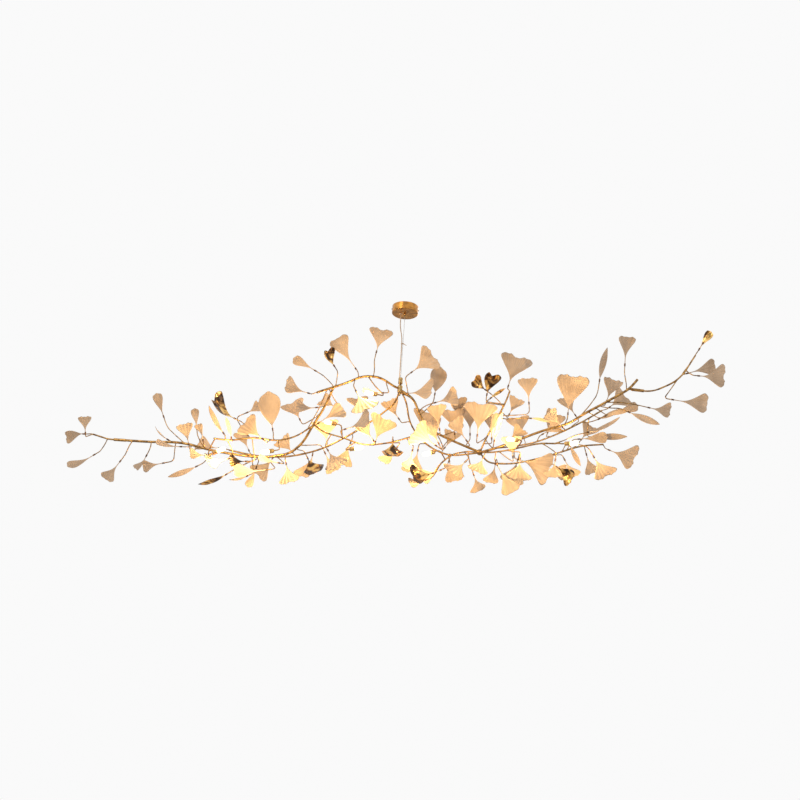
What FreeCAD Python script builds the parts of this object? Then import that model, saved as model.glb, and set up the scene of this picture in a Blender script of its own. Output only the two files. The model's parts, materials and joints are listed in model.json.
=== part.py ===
import FreeCAD, Part
import math
import os
from FreeCAD import Vector

# A branch chandelier: a long, low tangle of brass boughs with porcelain and gilded ginkgo
# leaves, hung on one steel wire below a round ceiling canopy.
# Millimetres, +Z up.  Origin: the centre of the ceiling face, on the suspension wire's line.
# +X runs along the tangle, towards its raised end.  -Y is the side that the room sees.

os.makedirs("parts", exist_ok=True)

# ---------------------------------------------------------------- driving dimensions
CANOPY_DIAMETER = 104.0
CANOPY_HEIGHT = 30.0
CANOPY_WALL = 1.2
CANOPY_EDGE_ROUNDING = 3.0

BRACKET_LENGTH = 96.0
BRACKET_WIDTH = 22.0
BRACKET_THICKNESS = 2.0
BRACKET_DROP = 9.0
BRACKET_BRIDGE_LENGTH = 56.0
BRACKET_LEG_HEIGHT = 20.0
CEILING_SCREW_SPACING = 76.0
CEILING_SCREW_HOLE = 4.5

SIDE_SCREW_DIAMETER = 4.0
SIDE_SCREW_HEAD_DIAMETER = 7.0
SIDE_SCREW_HEAD_HEIGHT = 1.6
SIDE_SCREW_LEVEL = 12.0

GRIPPER_DIAMETER = 10.0
GRIPPER_SHANK_DIAMETER = 8.0
GRIPPER_LENGTH = 27.0
GRIPPER_NUT_ACROSS_FLATS = 14.0
GRIPPER_NUT_HEIGHT = 4.0
GRIPPER_ROOF = 6.0
WIRE_END_DEPTH = 7.0
NIPPLE_DIAMETER = 6.0
NIPPLE_LENGTH = 12.0
NIPPLE_STAND_OUT = 5.0
NIPPLE_TRAVEL = 2.5

WIRE_DIAMETER = 1.6
WIRE_STOP_DIAMETER = 5.0
WIRE_STOP_LENGTH = 6.0
CORD_DIAMETER = 4.0
CORD_OUTLET_OFFSET = 16.0
GROMMET_FLANGE_DIAMETER = 11.0
GROMMET_NECK_DIAMETER = 8.0
GROMMET_FLANGE_HEIGHT = 1.6
TERMINAL_BLOCK_SIZE = (14.0, 18.0, 10.0)
EARTH_SCREW_DIAMETER = 4.0
EARTH_SCREW_LENGTH = 10.0
EARTH_SCREW_HEAD_HEIGHT = 3.0
TERMINAL_GROOVE = (1.0, 2.0)

COUPLING_DIAMETER = 17.0
COUPLING_HEIGHT = 22.0
COUPLING_CAVITY_DIAMETER = 13.0
COUPLING_ROOF = 8.0
COUPLING_RING_HEIGHT = 3.0
STEM_DIAMETER = 8.0
STEM_HEAD_DIAMETER = 12.0
STEM_HEAD_HEIGHT = 4.0
STEM_NECK = 12.0
STEM_SPIGOT_LENGTH = 10.0
HUB_TOP = 338.0
HUB_DIAMETER = 20.0
HUB_HEIGHT = 30.0
HUB_COVER_DIAMETER = 13.0
HUB_COVER_HEIGHT = 4.0
FINIAL_DIAMETER = 8.0
FINIAL_HEIGHT = 9.0
KNOT_DIAMETER = 24.0

TWIG_DIAMETER = 4.2
TWIG_END_RUN = 0.30
TWIG_FIRST_BEND = 0.42
TWIG_BOW = 0.05
FERRULE_DIAMETER = 6.4
FERRULE_LENGTH = 10.0
FERRULE_SOCKET_DEPTH = 5.0
LEAF_THICKNESS = 2.4
LEAF_STALK_FOOT = 3.6
LEAF_STALK_NECK = 3.0
SLEEVE_WALL = 2.0
SLEEVE_LENGTH = 46.0
SLEEVE_FLOOR = 4.0
LEFT_SLEEVE_SETBACK = 4.0
RIGHT_SLEEVE_SETBACK = 8.0
SLEEVE_STUB = 10.0

LAMP_HOLDER_DIAMETER = 16.0
LAMP_HOLDER_LENGTH = 20.0
LAMP_SOCKET_DIAMETER = 12.4
LAMP_SOCKET_DEPTH = 13.0
LAMP_STEM_DIAMETER = 5.0
BULB_BASE_DIAMETER = 11.6
BULB_GLASS_DIAMETER = 15.0
BULB_LENGTH = 44.0

RUNNING_CLEARANCE = 0.4
FIT_CLEARANCE = 0.1
SEAT_GAP = 0.3
ARC_SHARE = 0.45

# Where the outline of a blade is measured, in shares of its reach.
OUTLINE_STATIONS = [1 - (1 - step / 11) ** 2 for step in range(12)]
NOTCH_WIDTH = 0.28
LOBE_DEPTH = 0.03

def along(start, axis, distance):
    """The point that lies a distance from a start along an axis."""
    return start + axis * distance


# ---------------------------------------------------------------- boughs
# Places of the tangle are given from its own middle, which hangs a little to one side of the
# wire: TANGLE_OFFSET leads from the origin to it.
TANGLE_OFFSET = Vector(26, 0, -8)
SPIGOT_DIAMETER = 6.4
SLEEVE_START_LEFT = Vector(-1062, 72, -600)
SLEEVE_AXIS_LEFT = Vector(-1, 0, 0)
SLEEVE_START_RIGHT = Vector(819, -178, -358)
SLEEVE_AXIS_RIGHT = Vector(0.95, -0.26, -0.17).normalize()

# Each bough: its diameter, what it is brazed to, and the points that its line bends at.  A bough
# that is brazed to the hub starts on the hub's own line.
BOUGHS = {
    "upper_arc_bough": (9.0, ["hub"], [
        (0, 0, -352), (-50, -10, -338), (-105, -30, -312), (-170, -45, -318), (-222, -55, -352),
        (-275, -60, -378), (-338, -60, -405)]),
    "left_bough": (9.4, ["upper_arc_bough"], [
        (-276, -60, -376), (-305, -40, -455), (-345, -20, -525), (-375, 0, -585), (-420, 10, -630),
        (-515, 20, -650), (-600, 30, -645), (-725, 42, -628), (-840, 55, -598), (-960, 72, -600),
        tuple(SLEEVE_START_LEFT)]),
    "left_upper_bough": (6.4, ["left_bough"], [
        (-345, -20, -525), (-400, -45, -582), (-470, -65, -612), (-550, -78, -606), (-635, -90, -630),
        (-700, -80, -622)]),
    "low_centre_bough": (6.0, ["left_bough"], [
        (-342, -22, -520), (-298, -50, -560), (-226, -70, -582), (-145, -80, -612), (-50, -72, -592),
        (25, -52, -556)]),
    "rear_left_bough": (7.0, ["hub"], [
        (0, 0, -352), (-40, 45, -385), (-120, 100, -440), (-215, 135, -500), (-320, 150, -560),
        (-440, 145, -600), (-560, 130, -610), (-670, 135, -590)]),
    "centre_bough": (9.4, ["hub"], [
        (0, 0, -354), (30, -12, -386), (52, -18, -446), (92, -18, -508), (180, -2, -540), (290, 10, -576)]),
    "centre_back_bough": (6.6, ["hub", "centre_bough"], [
        (0, 0, -352), (2, 40, -378), (20, 66, -460), (85, 80, -535), (175, 68, -580), (290, 10, -578)]),
    "right_bough": (9.4, ["centre_bough", "centre_back_bough"], [
        (290, 10, -577), (350, -2, -560), (425, -20, -530), (525, -50, -492), (612, -80, -472),
        (664, -110, -440), (728, -140, -408), tuple(SLEEVE_START_RIGHT), (850, -182, -318)]),
    "right_rear_bough": (6.4, ["right_bough", "centre_bough"], [
        (352, -2, -559), (430, 30, -535), (510, 48, -506), (600, 62, -458), (695, 80, -395),
        (770, 96, -338)]),
    "right_front_bough": (6.4, ["centre_bough", "centre_back_bough", "right_bough"], [
        (290, 10, -577), (345, -35, -588), (410, -66, -582), (498, -92, -562), (560, -106, -564)]),
    "right_low_bough": (6.6, ["centre_bough", "centre_back_bough", "right_front_bough"], [
        (290, 10, -577), (325, 45, -604), (418, 78, -592), (520, 98, -556), (598, 108, -524),
        (690, 116, -484), (780, 128, -468)]),
    "tall_bough": (7.0, ["centre_bough", "centre_back_bough", "right_front_bough", "right_low_bough"], [
        (290, 10, -577), (312, 2, -520), (350, -30, -446), (376, -50, -392), (390, -62, -348)]),
    "low_gold_bough": (6.0, ["centre_bough", "centre_back_bough", "right_front_bough", "tall_bough"], [
        (290, 10, -577), (240, -25, -588), (182, -60, -616), (142, -76, -660), (122, -84, -694)]),
    "left_tip_bough": (SPIGOT_DIAMETER, [], [
        tuple(along(SLEEVE_START_LEFT, SLEEVE_AXIS_LEFT, 2)),
        tuple(along(SLEEVE_START_LEFT, SLEEVE_AXIS_LEFT, 62)),
        (-1160, 80, -588), (-1190, 86, -579)]),
    "right_tip_bough": (SPIGOT_DIAMETER, [], [
        tuple(along(SLEEVE_START_RIGHT, SLEEVE_AXIS_RIGHT, 16)),
        tuple(along(SLEEVE_START_RIGHT, SLEEVE_AXIS_RIGHT, 84)),
        (995, -222, -328), (1052, -240, -232)]),
}

# ---------------------------------------------------------------- leaves
# Shape of a leaf, in shares of its length: half its width, its stalk, and the radii that it is
# rolled to across and bent to along its line.  Then how it flares from its stalk, how blunt its
# far end is, how round its tip is, the depth of its middle notch and the number of its lobes.
LEAF_SHAPES = {
    "wide": (0.50, 0.18, 1.30, 2.50, 1.7, 7.0, 0.50, 0.15, 5),
    "fan": (0.40, 0.20, 0.75, 1.90, 1.9, 6.0, 0.50, 0.08, 4),
    "shell": (0.44, 0.16, 0.62, 1.15, 1.5, 5.0, 0.50, 0.09, 5),
    "long": (0.30, 0.22, 0.50, 2.00, 2.1, 6.0, 0.50, 0.05, 3),
    "spoon": (0.21, 0.22, 0.60, 1.80, 1.5, 4.0, 0.50, 0.00, 2),
    "petal": (0.30, 0.14, 0.70, 1.70, 1.0, 2.6, 0.70, 0.00, 2),
    "slim": (0.11, 0.12, 0.28, 1.50, 0.9, 2.0, 0.85, 0.00, 1),
    "curl": (0.42, 0.14, 0.56, 1.15, 1.3, 4.0, 0.50, 0.22, 3),
}

# Leaves of each bough: where the twig leaves the bough, as a count of its points, the foot of
# the leaf's stalk, then its aim (degrees, 0 along +X, 90 up), its lean towards the room, its
# turn about its own line, its shape and its length with the stalk.
PORCELAIN = {
    "left_tip_bough": [
        (3.0, (-1213, 70, -588), 101, 8, 15, "fan", 65),
        (3.0, (-1221, 92, -578), 181, -5, -50, "shell", 65),
        (1.1, (-1167, 84, -659), 222, 10, 20, "spoon", 110),
    ],
    "left_bough": [
        (9.7, (-1060, 60, -684), 243, 5, -15, "long", 95),
        (9.0, (-966, 60, -655), 244, -20, 40, "fan", 65),
        (8.2, (-885, 15, -698), 199, 10, -20, "long", 80),
        (8.1, (-884, 26, -604), 158, 15, 60, "slim", 65),
        (7.9, (-924, 66, -500), 115, 0, 10, "spoon", 95),
        (7.6, (-826, 4, -634), 184, 8, 35, "spoon", 95),
        (7.4, (-796, -24, -638), 108, 12, 0, "fan", 80),
        (7.2, (-788, 44, -548), 103, -8, 0, "spoon", 80),
        (7.0, (-744, -32, -622), 106, 10, -30, "long", 65),
        (6.8, (-724, -8, -664), 190, 12, 15, "fan", 65),
        (6.9, (-770, 62, -686), 210, -6, 0, "slim", 110),
        (5.6, (-575, 58, -712), 208, -10, 30, "slim", 65),
        (5.3, (-548, 64, -672), 250, -25, 0, "spoon", 80),
        (4.9, (-491, -40, -716), 194, 8, 15, "long", 125),
        (4.6, (-452, -16, -680), 176, 8, 20, "spoon", 80),
        (4.2, (-434, 2, -669), 288, -6, 10, "wide", 80),
        (3.3, (-296, 40, -604), 302, -30, 0, "fan", 80),
        (1.3, (-396, 8, -496), 118, -25, 0, "wide", 95),
        (0.9, (-332, -12, -446), 186, -10, 20, "fan", 80),
    ],
    "left_upper_bough": [
        (4.2, (-634, -64, -690), 212, 25, 10, "fan", 95),
        (4.3, (-660, -96, -609), 133, 12, 30, "slim", 110),
        (3.9, (-629, -110, -632), 105, 25, -10, "slim", 80),
        (3.2, (-606, 20, -476), 42, -30, 0, "fan", 65),
        (2.1, (-488, -55, -568), 104, 6, 10, "petal", 140),
        (2.3, (-511, -112, -627), 146, 14, 0, "wide", 95),
    ],
    "upper_arc_bough": [
        (6.0, (-363, -72, -416), 172, 12, 10, "fan", 95),
        (5.0, (-346, -72, -324), 155, 10, -25, "spoon", 95),
        (3.3, (-196, -52, -298), 128, 4, 5, "long", 140),
        (2.4, (-127, -36, -216), 80, 8, 0, "wide", 95),
        (5.3, (-262, 10, -432), 146, -35, 0, "fan", 80),
        (3.6, (-192, -92, -398), 297, 12, 0, "wide", 110),
        (5.4, (-322, -104, -548), 36, 12, 30, "long", 110),
        (1.6, (-84, -40, -380), 184, 0, 20, "spoon", 80),
    ],
    "low_centre_bough": [
        (2.0, (-222, -112, -566), 14, 22, -20, "fan", 110),
        (1.4, (-280, -60, -628), 302, 12, 0, "wide", 95),
        (3.3, (-106, -52, -590), 78, -12, 20, "wide", 110),
        (3.2, (-108, -98, -600), 130, 3, 0, "fan", 80),
        (3.9, (-20, -30, -588), 238, -10, 30, "fan", 80),
        (4.8, (36, -60, -606), 262, 8, -20, "fan", 95),
    ],
    "rear_left_bough": [
        (2.2, (-160, 150, -400), 118, -28, 20, "wide", 95),
        (2.8, (-205, 190, -502), 248, -30, -20, "fan", 95),
        (3.5, (-300, 205, -512), 100, -24, 0, "wide", 110),
        (4.1, (-350, 180, -566), 262, -18, 30, "shell", 95),
        (4.7, (-430, 205, -560), 128, -35, -10, "fan", 95),
        (5.3, (-500, 170, -594), 232, -24, 10, "wide", 95),
        (6.0, (-600, 190, -570), 118, -30, 0, "long", 110),
        (7.0, (-706, 150, -580), 172, -20, 25, "fan", 95),
    ],
    "centre_bough": [
        (0.6, (10, -46, -294), 38, 14, 10, "wide", 110),
        (1.0, (-2, -58, -384), -2, 22, -20, "wide", 110),
        (2.1, (108, -4, -362), 84, -6, 10, "petal", 110),
        (1.9, (104, -78, -424), 14, 18, 10, "fan", 95),
        (2.9, (132, -66, -528), 104, 22, 0, "fan", 95),
        (3.9, (134, -40, -574), 120, 10, 0, "wide", 95),
        (3.6, (214, -34, -470), 112, 16, 10, "shell", 80),
        (3.4, (190, -50, -536), 98, 4, 0, "wide", 95),
        (3.3, (124, -92, -600), 156, 24, -15, "wide", 110),
        (4.4, (238, -56, -562), 130, 12, 10, "fan", 95),
        (4.5, (252, 26, -505), 92, -8, 0, "fan", 110),
    ],
    "centre_back_bough": [
        (1.9, (-20, 104, -430), 122, -20, 10, "fan", 95),
        (2.5, (66, 132, -470), 78, -24, 0, "wide", 110),
        (3.0, (60, 140, -532), 262, -22, 20, "wide", 95),
        (3.8, (160, 130, -528), 62, -28, -20, "fan", 95),
        (4.2, (182, 130, -572), 286, -26, 0, "shell", 80),
    ],
    "low_gold_bough": [
        (1.2, (236, -66, -640), 232, 20, 10, "wide", 95),
        (0.6, (300, -66, -618), 250, 12, 0, "wide", 80),
        (0.9, (265, -44, -680), 289, 10, 20, "fan", 80),
        (2.1, (150, -20, -664), 208, -8, 0, "fan", 80),
        (3.2, (96, -50, -716), 206, 0, 20, "fan", 65),
    ],
    "tall_bough": [
        (1.1, (272, -72, -545), 87, 16, 0, "wide", 125),
        (4.0, (382, -64, -334), 75, 4, 0, "wide", 125),
        (2.1, (462, -78, -404), 96, 14, -10, "fan", 95),
        (2.4, (392, -20, -432), 66, -14, 0, "fan", 80),
        (2.0, (466, -58, -452), 0, 6, 60, "slim", 80),
        (0.9, (336, -66, -560), 84, 20, 20, "slim", 110),
        (0.6, (330, -34, -538), 94, 6, 0, "fan", 95),
    ],
    "right_bough": [
        (1.9, (398, 24, -516), 48, -24, 0, "fan", 80),
        (3.8, (610, -66, -432), 86, 8, 0, "shell", 140),
        (3.3, (588, -104, -500), 140, 14, -20, "fan", 80),
        (4.7, (729, -70, -288), 82, 0, 10, "slim", 125),
        (5.9, (748, -100, -384), 70, -8, -10, "fan", 95),
        (6.9, (806, -168, -261), 87, 2, 0, "long", 110),
        (5.6, (772, -92, -424), 20, 0, 10, "spoon", 95),
        (5.2, (740, -100, -442), 22, 8, 40, "slim", 95),
        (6.1, (892, -150, -414), -12, 4, 0, "fan", 80),
        (5.8, (822, -134, -430), -26, 10, 20, "slim", 125),
    ],
    "right_rear_bough": [
        (2.0, (530, 60, -470), 40, -18, 10, "fan", 80),
        (1.4, (462, 92, -470), 104, -26, 0, "wide", 95),
        (2.6, (560, 120, -440), 72, -30, 10, "shell", 95),
        (3.4, (672, 120, -360), 116, -22, 0, "fan", 95),
        (3.9, (742, 40, -400), 26, -4, 0, "slim", 95),
        (5.0, (800, 112, -318), 44, -18, 10, "wide", 95),
        (4.3, (738, 124, -440), 7, -8, 20, "slim", 125),
    ],
    "right_front_bough": [
        (3.9, (668, -134, -524), 14, 8, -40, "slim", 125),
        (1.6, (430, -104, -628), 266, 8, 0, "wide", 95),
        (3.2, (560, -104, -622), 262, 4, 20, "fan", 80),
        (2.0, (428, -46, -614), -16, 2, 25, "wide", 125),
        (4.0, (702, -84, -594), 300, 2, 0, "wide", 95),
        (1.0, (350, -40, -634), 300, -4, 10, "long", 125),
        (1.2, (412, -30, -604), 96, -6, 0, "wide", 80),
    ],
    "right_low_bough": [
        (6.0, (796, 112, -494), -24, 10, 0, "wide", 110),
        (3.6, (622, 96, -548), 300, -8, 10, "fan", 80),
        (4.2, (640, 80, -494), 296, -4, 10, "slim", 95),
        (4.4, (676, 104, -462), 10, -6, 20, "spoon", 110),
        (2.6, (542, 76, -596), -8, -10, 20, "fan", 80),
        (4.6, (700, 170, -440), 58, -32, 0, "fan", 95),
        (2.2, (450, 138, -546), 256, -24, 0, "wide", 95),
        (5.2, (720, 168, -494), 292, -26, 0, "fan", 80),
        (1.4, (360, 104, -580), 262, -14, 20, "fan", 80),
    ],
    "right_tip_bough": [
        (2.0, (964, -216, -404), -8, 4, 10, "long", 125),
        (2.9, (1020, -224, -301), 22, -6, 25, "long", 110),
        (2.4, (1054, -246, -316), -6, 10, 0, "wide", 95),
    ],
}

GILDED = {
    "left_bough": [
        (5.1, (-648, 12, -726), 218, 4, 20, "slim", 110),
        (3.6, (-352, -56, -662), 298, 10, 0, "curl", 95),
    ],
    "left_upper_bough": [
        (3.2, (-630, -50, -530), 160, 10, 40, "curl", 110),
        (3.1, (-566, -72, -700), 190, 14, 0, "fan", 65),
    ],
    "upper_arc_bough": [
        (4.9, (-278, -78, -303), 127, 10, 20, "curl", 65),
    ],
    "low_centre_bough": [
        (4.2, (-40, -112, -592), 272, 12, 0, "curl", 95),
    ],
    "low_gold_bough": [
        (4.0, (118, -86, -702), 202, 10, 0, "curl", 95),
    ],
    "tall_bough": [
        (2.9, (303, -62, -374), 84, 10, 20, "curl", 80),
        (2.7, (300, -84, -362), 150, 14, -10, "curl", 65),
        (2.8, (312, -98, -400), 40, 16, 30, "slim", 65),
    ],
    "right_low_bough": [
        (3.0, (580, 40, -600), -30, 0, 40, "shell", 80),
    ],
    "right_tip_bough": [
        (3.0, (1063, -246, -213), 60, 2, 10, "spoon", 80),
    ],
}

# Lamps: the bough and the place on it that the stem leaves from, the back of the lamp holder,
# its aim and its lean.
LAMPS = [
    ("left_upper_bough", 4.9, (-690, -112, -690), 18, 22),
    ("left_upper_bough", 1.9, (-470, -108, -664), 200, 18),
    ("low_centre_bough", 2.6, (-196, -108, -640), 10, 10),
    ("upper_arc_bough", 2.7, (-110, -92, -410), 186, 30),
    ("low_gold_bough", 2.6, (116, -122, -632), 206, 18),
    ("right_front_bough", 2.1, (420, -122, -566), 190, 26),
    ("right_front_bough", 4.0, (590, -116, -566), 4, 6),
    ("rear_left_bough", 3.2, (-262, 92, -470), 168, -12),
]

# The power cord's line, from the terminal block to the coupling that it enters.
CORD_POINTS = [
    (-16.0, 0.0, -21.0), (-16.0, 0.0, -72.0), (-13.2, 0.6, -98.0), (-8.2, 0.8, -119.0), (-4.9, 0.2, -143.0),
    (-4.5, -0.2, -186.0), (-4.7, 0.1, -246.0), (-4.5, 0.0, -306.0)]
CORD_TIE_LEVEL = 160.0
CORD_TIE_HEIGHT = 3.0
CORD_TIE_THICKNESS = 0.9
CORD_TIE_TAIL = 14.0

DOWN = Vector(0, 0, -1)
ACROSS = Vector(1, 0, 0)
TOWARDS_ROOM = Vector(0, -1, 0)


# ---------------------------------------------------------------- helpers
def cylinder(diameter, height, centre, axis=DOWN):
    """A round bar that starts at a centre and runs along an axis."""
    return Part.makeCylinder(diameter / 2, height, centre, axis)


def placed(point):
    """Where a place of the tangle lies from the origin."""
    return Vector(point) + TANGLE_OFFSET


def heading(aim, lean):
    """Unit direction of something that points at an angle in the XZ plane and leans to the room."""
    turn = math.radians(aim)
    tilt = math.radians(lean)
    return Vector(math.cos(turn) * math.cos(tilt), -math.sin(tilt), math.sin(turn) * math.cos(tilt))


def rounded_line(points):
    """Straight runs through the points, joined by tangent arcs, and the arcs' radii."""
    edges = []
    radii = []
    start = points[0]
    for before, corner, after in zip(points, points[1:], points[2:]):
        arriving = corner - before
        leaving = after - corner
        half_turn = arriving.getAngle(leaving) / 2
        shorter = min(arriving.Length, leaving.Length)
        arriving.normalize()
        leaving.normalize()
        setback = ARC_SHARE * shorter
        arc_start = corner - arriving * setback
        arc_end = corner + leaving * setback
        inward = leaving - arriving
        inward.normalize()
        radius = setback / math.tan(half_turn)
        middle = corner + inward * (radius / math.cos(half_turn) - radius)
        edges.append(Part.LineSegment(start, arc_start).toShape())
        edges.append(Part.Arc(arc_start, middle, arc_end).toShape())
        radii.append(radius)
        start = arc_end
    edges.append(Part.LineSegment(start, points[-1]).toShape())
    return Part.Wire(edges), radii


def tube(points, diameter):
    """A round bar that follows the rounded line through its points, one face for each run and arc."""
    points = [Vector(p) for p in points]
    line = rounded_line(points)[0]
    ring = Part.makeCircle(diameter / 2, points[0], points[1] - points[0])
    skin = [Part.Face(Part.Wire([ring]))]
    for edge in line.Edges:
        start = edge.Curve.value(edge.FirstParameter)
        end = edge.Curve.value(edge.LastParameter)
        if isinstance(edge.Curve, Part.Circle):
            centre = edge.Curve.Center
            axis = (start - centre).cross(end - centre)
            angle = math.degrees((start - centre).getAngle(end - centre))
            skin.append(ring.revolve(centre, axis, angle))
            ring = ring.rotated(centre, axis, angle)
        else:
            skin.append(ring.extrude(end - start))
            ring = ring.translated(end - start)
    skin.append(Part.Face(Part.Wire([ring])))
    shell = Part.makeShell(skin)
    shell.sewShape()
    solid = Part.makeSolid(shell)
    if solid.Volume < 0:
        solid.reverse()
    return solid


def point_on(line, points, station):
    """The place on a bough's line that is nearest to a station counted in its points."""
    last = len(points) - 1
    index = min(int(station), last - 1)
    share = station - index
    wanted = Vector(points[index]) * (1 - share) + Vector(points[index + 1]) * share
    return line.distToShape(Part.Vertex(wanted))[1][0][0]


def twig_line(start, foot, direction, side):
    """Points of a twig that leaves a bough, wanders a little and ends along its leaf's direction."""
    reach = (foot - start).Length
    last_bend = foot - direction * (TWIG_END_RUN * reach)
    first_bend = start + (last_bend - start) * TWIG_FIRST_BEND
    sideways = (last_bend - start).cross(direction)
    sideways.normalize()
    return [start, first_bend + sideways * (TWIG_BOW * reach * side), last_bend, foot]


# ---------------------------------------------------------------- leaf
def blade_width(share, flare, bluntness, roundness):
    """Width of a blade at a share of its reach, before it is scaled to its widest place."""
    return share ** flare * (1 - share ** bluntness) ** roundness


def leaf_outline(length, shape):
    """The flat outline of a blade: it flares from its stalk to a lobed rim with a notch."""
    half_width, stalk_share, roll, bend, flare, bluntness, roundness, notch, lobes = shape
    root = stalk_share * length - LEAF_THICKNESS
    reach = length - root
    neck = LEAF_STALK_NECK / 2
    widths = [blade_width(share, flare, bluntness, roundness) for share in OUTLINE_STATIONS]
    side = []
    for share, width in zip(OUTLINE_STATIONS, widths):
        across = width / max(widths)
        dip = notch * math.exp(-(across / NOTCH_WIDTH) ** 2)
        dip += LOBE_DEPTH * (1 - math.cos(lobes * math.pi * across)) / 2
        x = neck * (1 - share) + (half_width * length - neck) * across
        side.append(Vector(x, root + reach * share * (1 - dip * share ** 2), 0))
    other_side = [Vector(-p.x, p.y, 0) for p in reversed(side[:-1])]
    curve = Part.BSplineCurve()
    curve.interpolate(side + other_side)
    foot = Part.LineSegment(other_side[-1], side[0]).toShape()
    return Part.Face(Part.Wire([curve.toShape(), foot]))


def cast_leaf(length, shape_name):
    """A leaf whose stalk's foot is at the origin, pointing along +Y, its face towards +Z."""
    shape = LEAF_SHAPES[shape_name]
    stalk = shape[1] * length
    roll = shape[2] * length
    bend = shape[3] * length
    half_wall = LEAF_THICKNESS / 2
    root = stalk - LEAF_THICKNESS
    rise = bend - math.sqrt(bend ** 2 - (length - root) ** 2)
    centre = Vector(0, root, bend)
    outer = Part.makeTorus(bend - roll, roll + half_wall, centre, ACROSS)
    inner = Part.makeTorus(bend - roll, roll - half_wall, centre, ACROSS)
    block = leaf_outline(length, shape).extrude(Vector(0, 0, roll + rise / 2 + 2 * half_wall))
    block.translate(Vector(0, 0, -2 * half_wall))
    blade = block.common(outer).cut(inner)
    stem = Part.makeCone(LEAF_STALK_FOOT / 2, LEAF_STALK_NECK / 2, stalk, Vector(0, 0, 0), Vector(0, 1, 0))
    return blade.fuse(stem).Solids[0]


# The leaves are cast in moulds, one for each shape and length.
MOULDS = {}


def make_leaf(length, shape_name):
    """A copy of the leaf from its mould."""
    if (length, shape_name) not in MOULDS:
        MOULDS[(length, shape_name)] = cast_leaf(length, shape_name)
    return MOULDS[(length, shape_name)].copy()


def standing_at(place, direction, turn):
    """The placement that lays +Y along a direction and +Z towards the room, turned about it."""
    face = TOWARDS_ROOM - direction * TOWARDS_ROOM.dot(direction)
    face.normalize()
    side = direction.cross(face)
    angle = math.radians(turn)
    face = face * math.cos(angle) + side * math.sin(angle)
    side = direction.cross(face)
    return FreeCAD.Placement(FreeCAD.Matrix(
        side.x, direction.x, face.x, place.x,
        side.y, direction.y, face.y, place.y,
        side.z, direction.z, face.z, place.z,
        0, 0, 0, 1))


def place_leaf(foot, direction, turn, shape_name, length):
    """A leaf seated in its ferrule's socket."""
    leaf = make_leaf(length, shape_name)
    seat = foot + direction * (FERRULE_LENGTH - FERRULE_SOCKET_DEPTH)
    leaf.Placement = standing_at(seat, direction, turn)
    return leaf


def make_ferrule(foot, direction):
    """The crimped socket that joins a leaf's stalk to its twig."""
    body = cylinder(FERRULE_DIAMETER, FERRULE_LENGTH, foot, direction)
    mouth = foot + direction * (FERRULE_LENGTH - FERRULE_SOCKET_DEPTH)
    socket = cylinder(LEAF_STALK_FOOT + 2 * FIT_CLEARANCE, FERRULE_SOCKET_DEPTH, mouth, direction)
    return body.cut(socket)


# ---------------------------------------------------------------- lamp
def make_lamp_holder(back, direction):
    body = cylinder(LAMP_HOLDER_DIAMETER, LAMP_HOLDER_LENGTH, back, direction)
    mouth = back + direction * (LAMP_HOLDER_LENGTH - LAMP_SOCKET_DEPTH)
    return body.cut(cylinder(LAMP_SOCKET_DIAMETER, LAMP_SOCKET_DEPTH, mouth, direction))


def make_bulb(back, direction):
    """A capsule bulb: the base that plugs into its holder and the rounded glass above it."""
    seat = back + direction * (LAMP_HOLDER_LENGTH - LAMP_SOCKET_DEPTH + SEAT_GAP)
    shoulder = LAMP_SOCKET_DEPTH + 1
    radius = BULB_GLASS_DIAMETER / 2
    glass_length = BULB_LENGTH - shoulder - radius
    base = cylinder(BULB_BASE_DIAMETER, shoulder, seat, direction)
    glass = cylinder(BULB_GLASS_DIAMETER, glass_length, seat + direction * shoulder, direction)
    dome = Part.makeSphere(radius, seat + direction * (shoulder + glass_length))
    return base.fuse([glass, dome]).removeSplitter()


# ---------------------------------------------------------------- ceiling parts
def make_bracket():
    half = BRACKET_LENGTH / 2
    bridge = BRACKET_BRIDGE_LENGTH / 2
    t = BRACKET_THICKNESS
    outline = [
        (-half, 0), (-bridge, 0), (-bridge, -BRACKET_DROP), (bridge, -BRACKET_DROP), (bridge, 0), (half, 0),
        (half, -BRACKET_LEG_HEIGHT), (half - t, -BRACKET_LEG_HEIGHT), (half - t, -t), (bridge + t, -t),
        (bridge + t, -BRACKET_DROP - t), (-bridge - t, -BRACKET_DROP - t), (-bridge - t, -t), (t - half, -t),
        (t - half, -BRACKET_LEG_HEIGHT), (-half, -BRACKET_LEG_HEIGHT), (-half, 0)]
    corners = [Vector(x, -BRACKET_WIDTH / 2, z) for x, z in outline]
    strap = Part.Face(Part.makePolygon(corners)).extrude(Vector(0, BRACKET_WIDTH, 0))
    holes = [cylinder(GRIPPER_SHANK_DIAMETER + 2 * FIT_CLEARANCE, BRACKET_DROP + 2 * t, Vector(0, 0, 0))]
    for sign in (-1, 1):
        holes.append(cylinder(CEILING_SCREW_HOLE, 3 * t, Vector(sign * CEILING_SCREW_SPACING / 2, 0, t)))
        slot_width = SIDE_SCREW_DIAMETER + 2 * RUNNING_CLEARANCE
        corner = Vector(sign * half - 2 * t, -slot_width / 2, -BRACKET_LEG_HEIGHT - t)
        height = BRACKET_LEG_HEIGHT + t - SIDE_SCREW_LEVEL
        holes.append(Part.makeBox(4 * t, slot_width, height, corner))
        holes.append(cylinder(slot_width, 4 * t, Vector(sign * half - 2 * t, 0, -SIDE_SCREW_LEVEL), ACROSS))
    return strap.cut(holes)


BRIDGE_UNDERSIDE = -BRACKET_DROP - BRACKET_THICKNESS
GRIPPER_BOTTOM = BRIDGE_UNDERSIDE - GRIPPER_LENGTH


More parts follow.
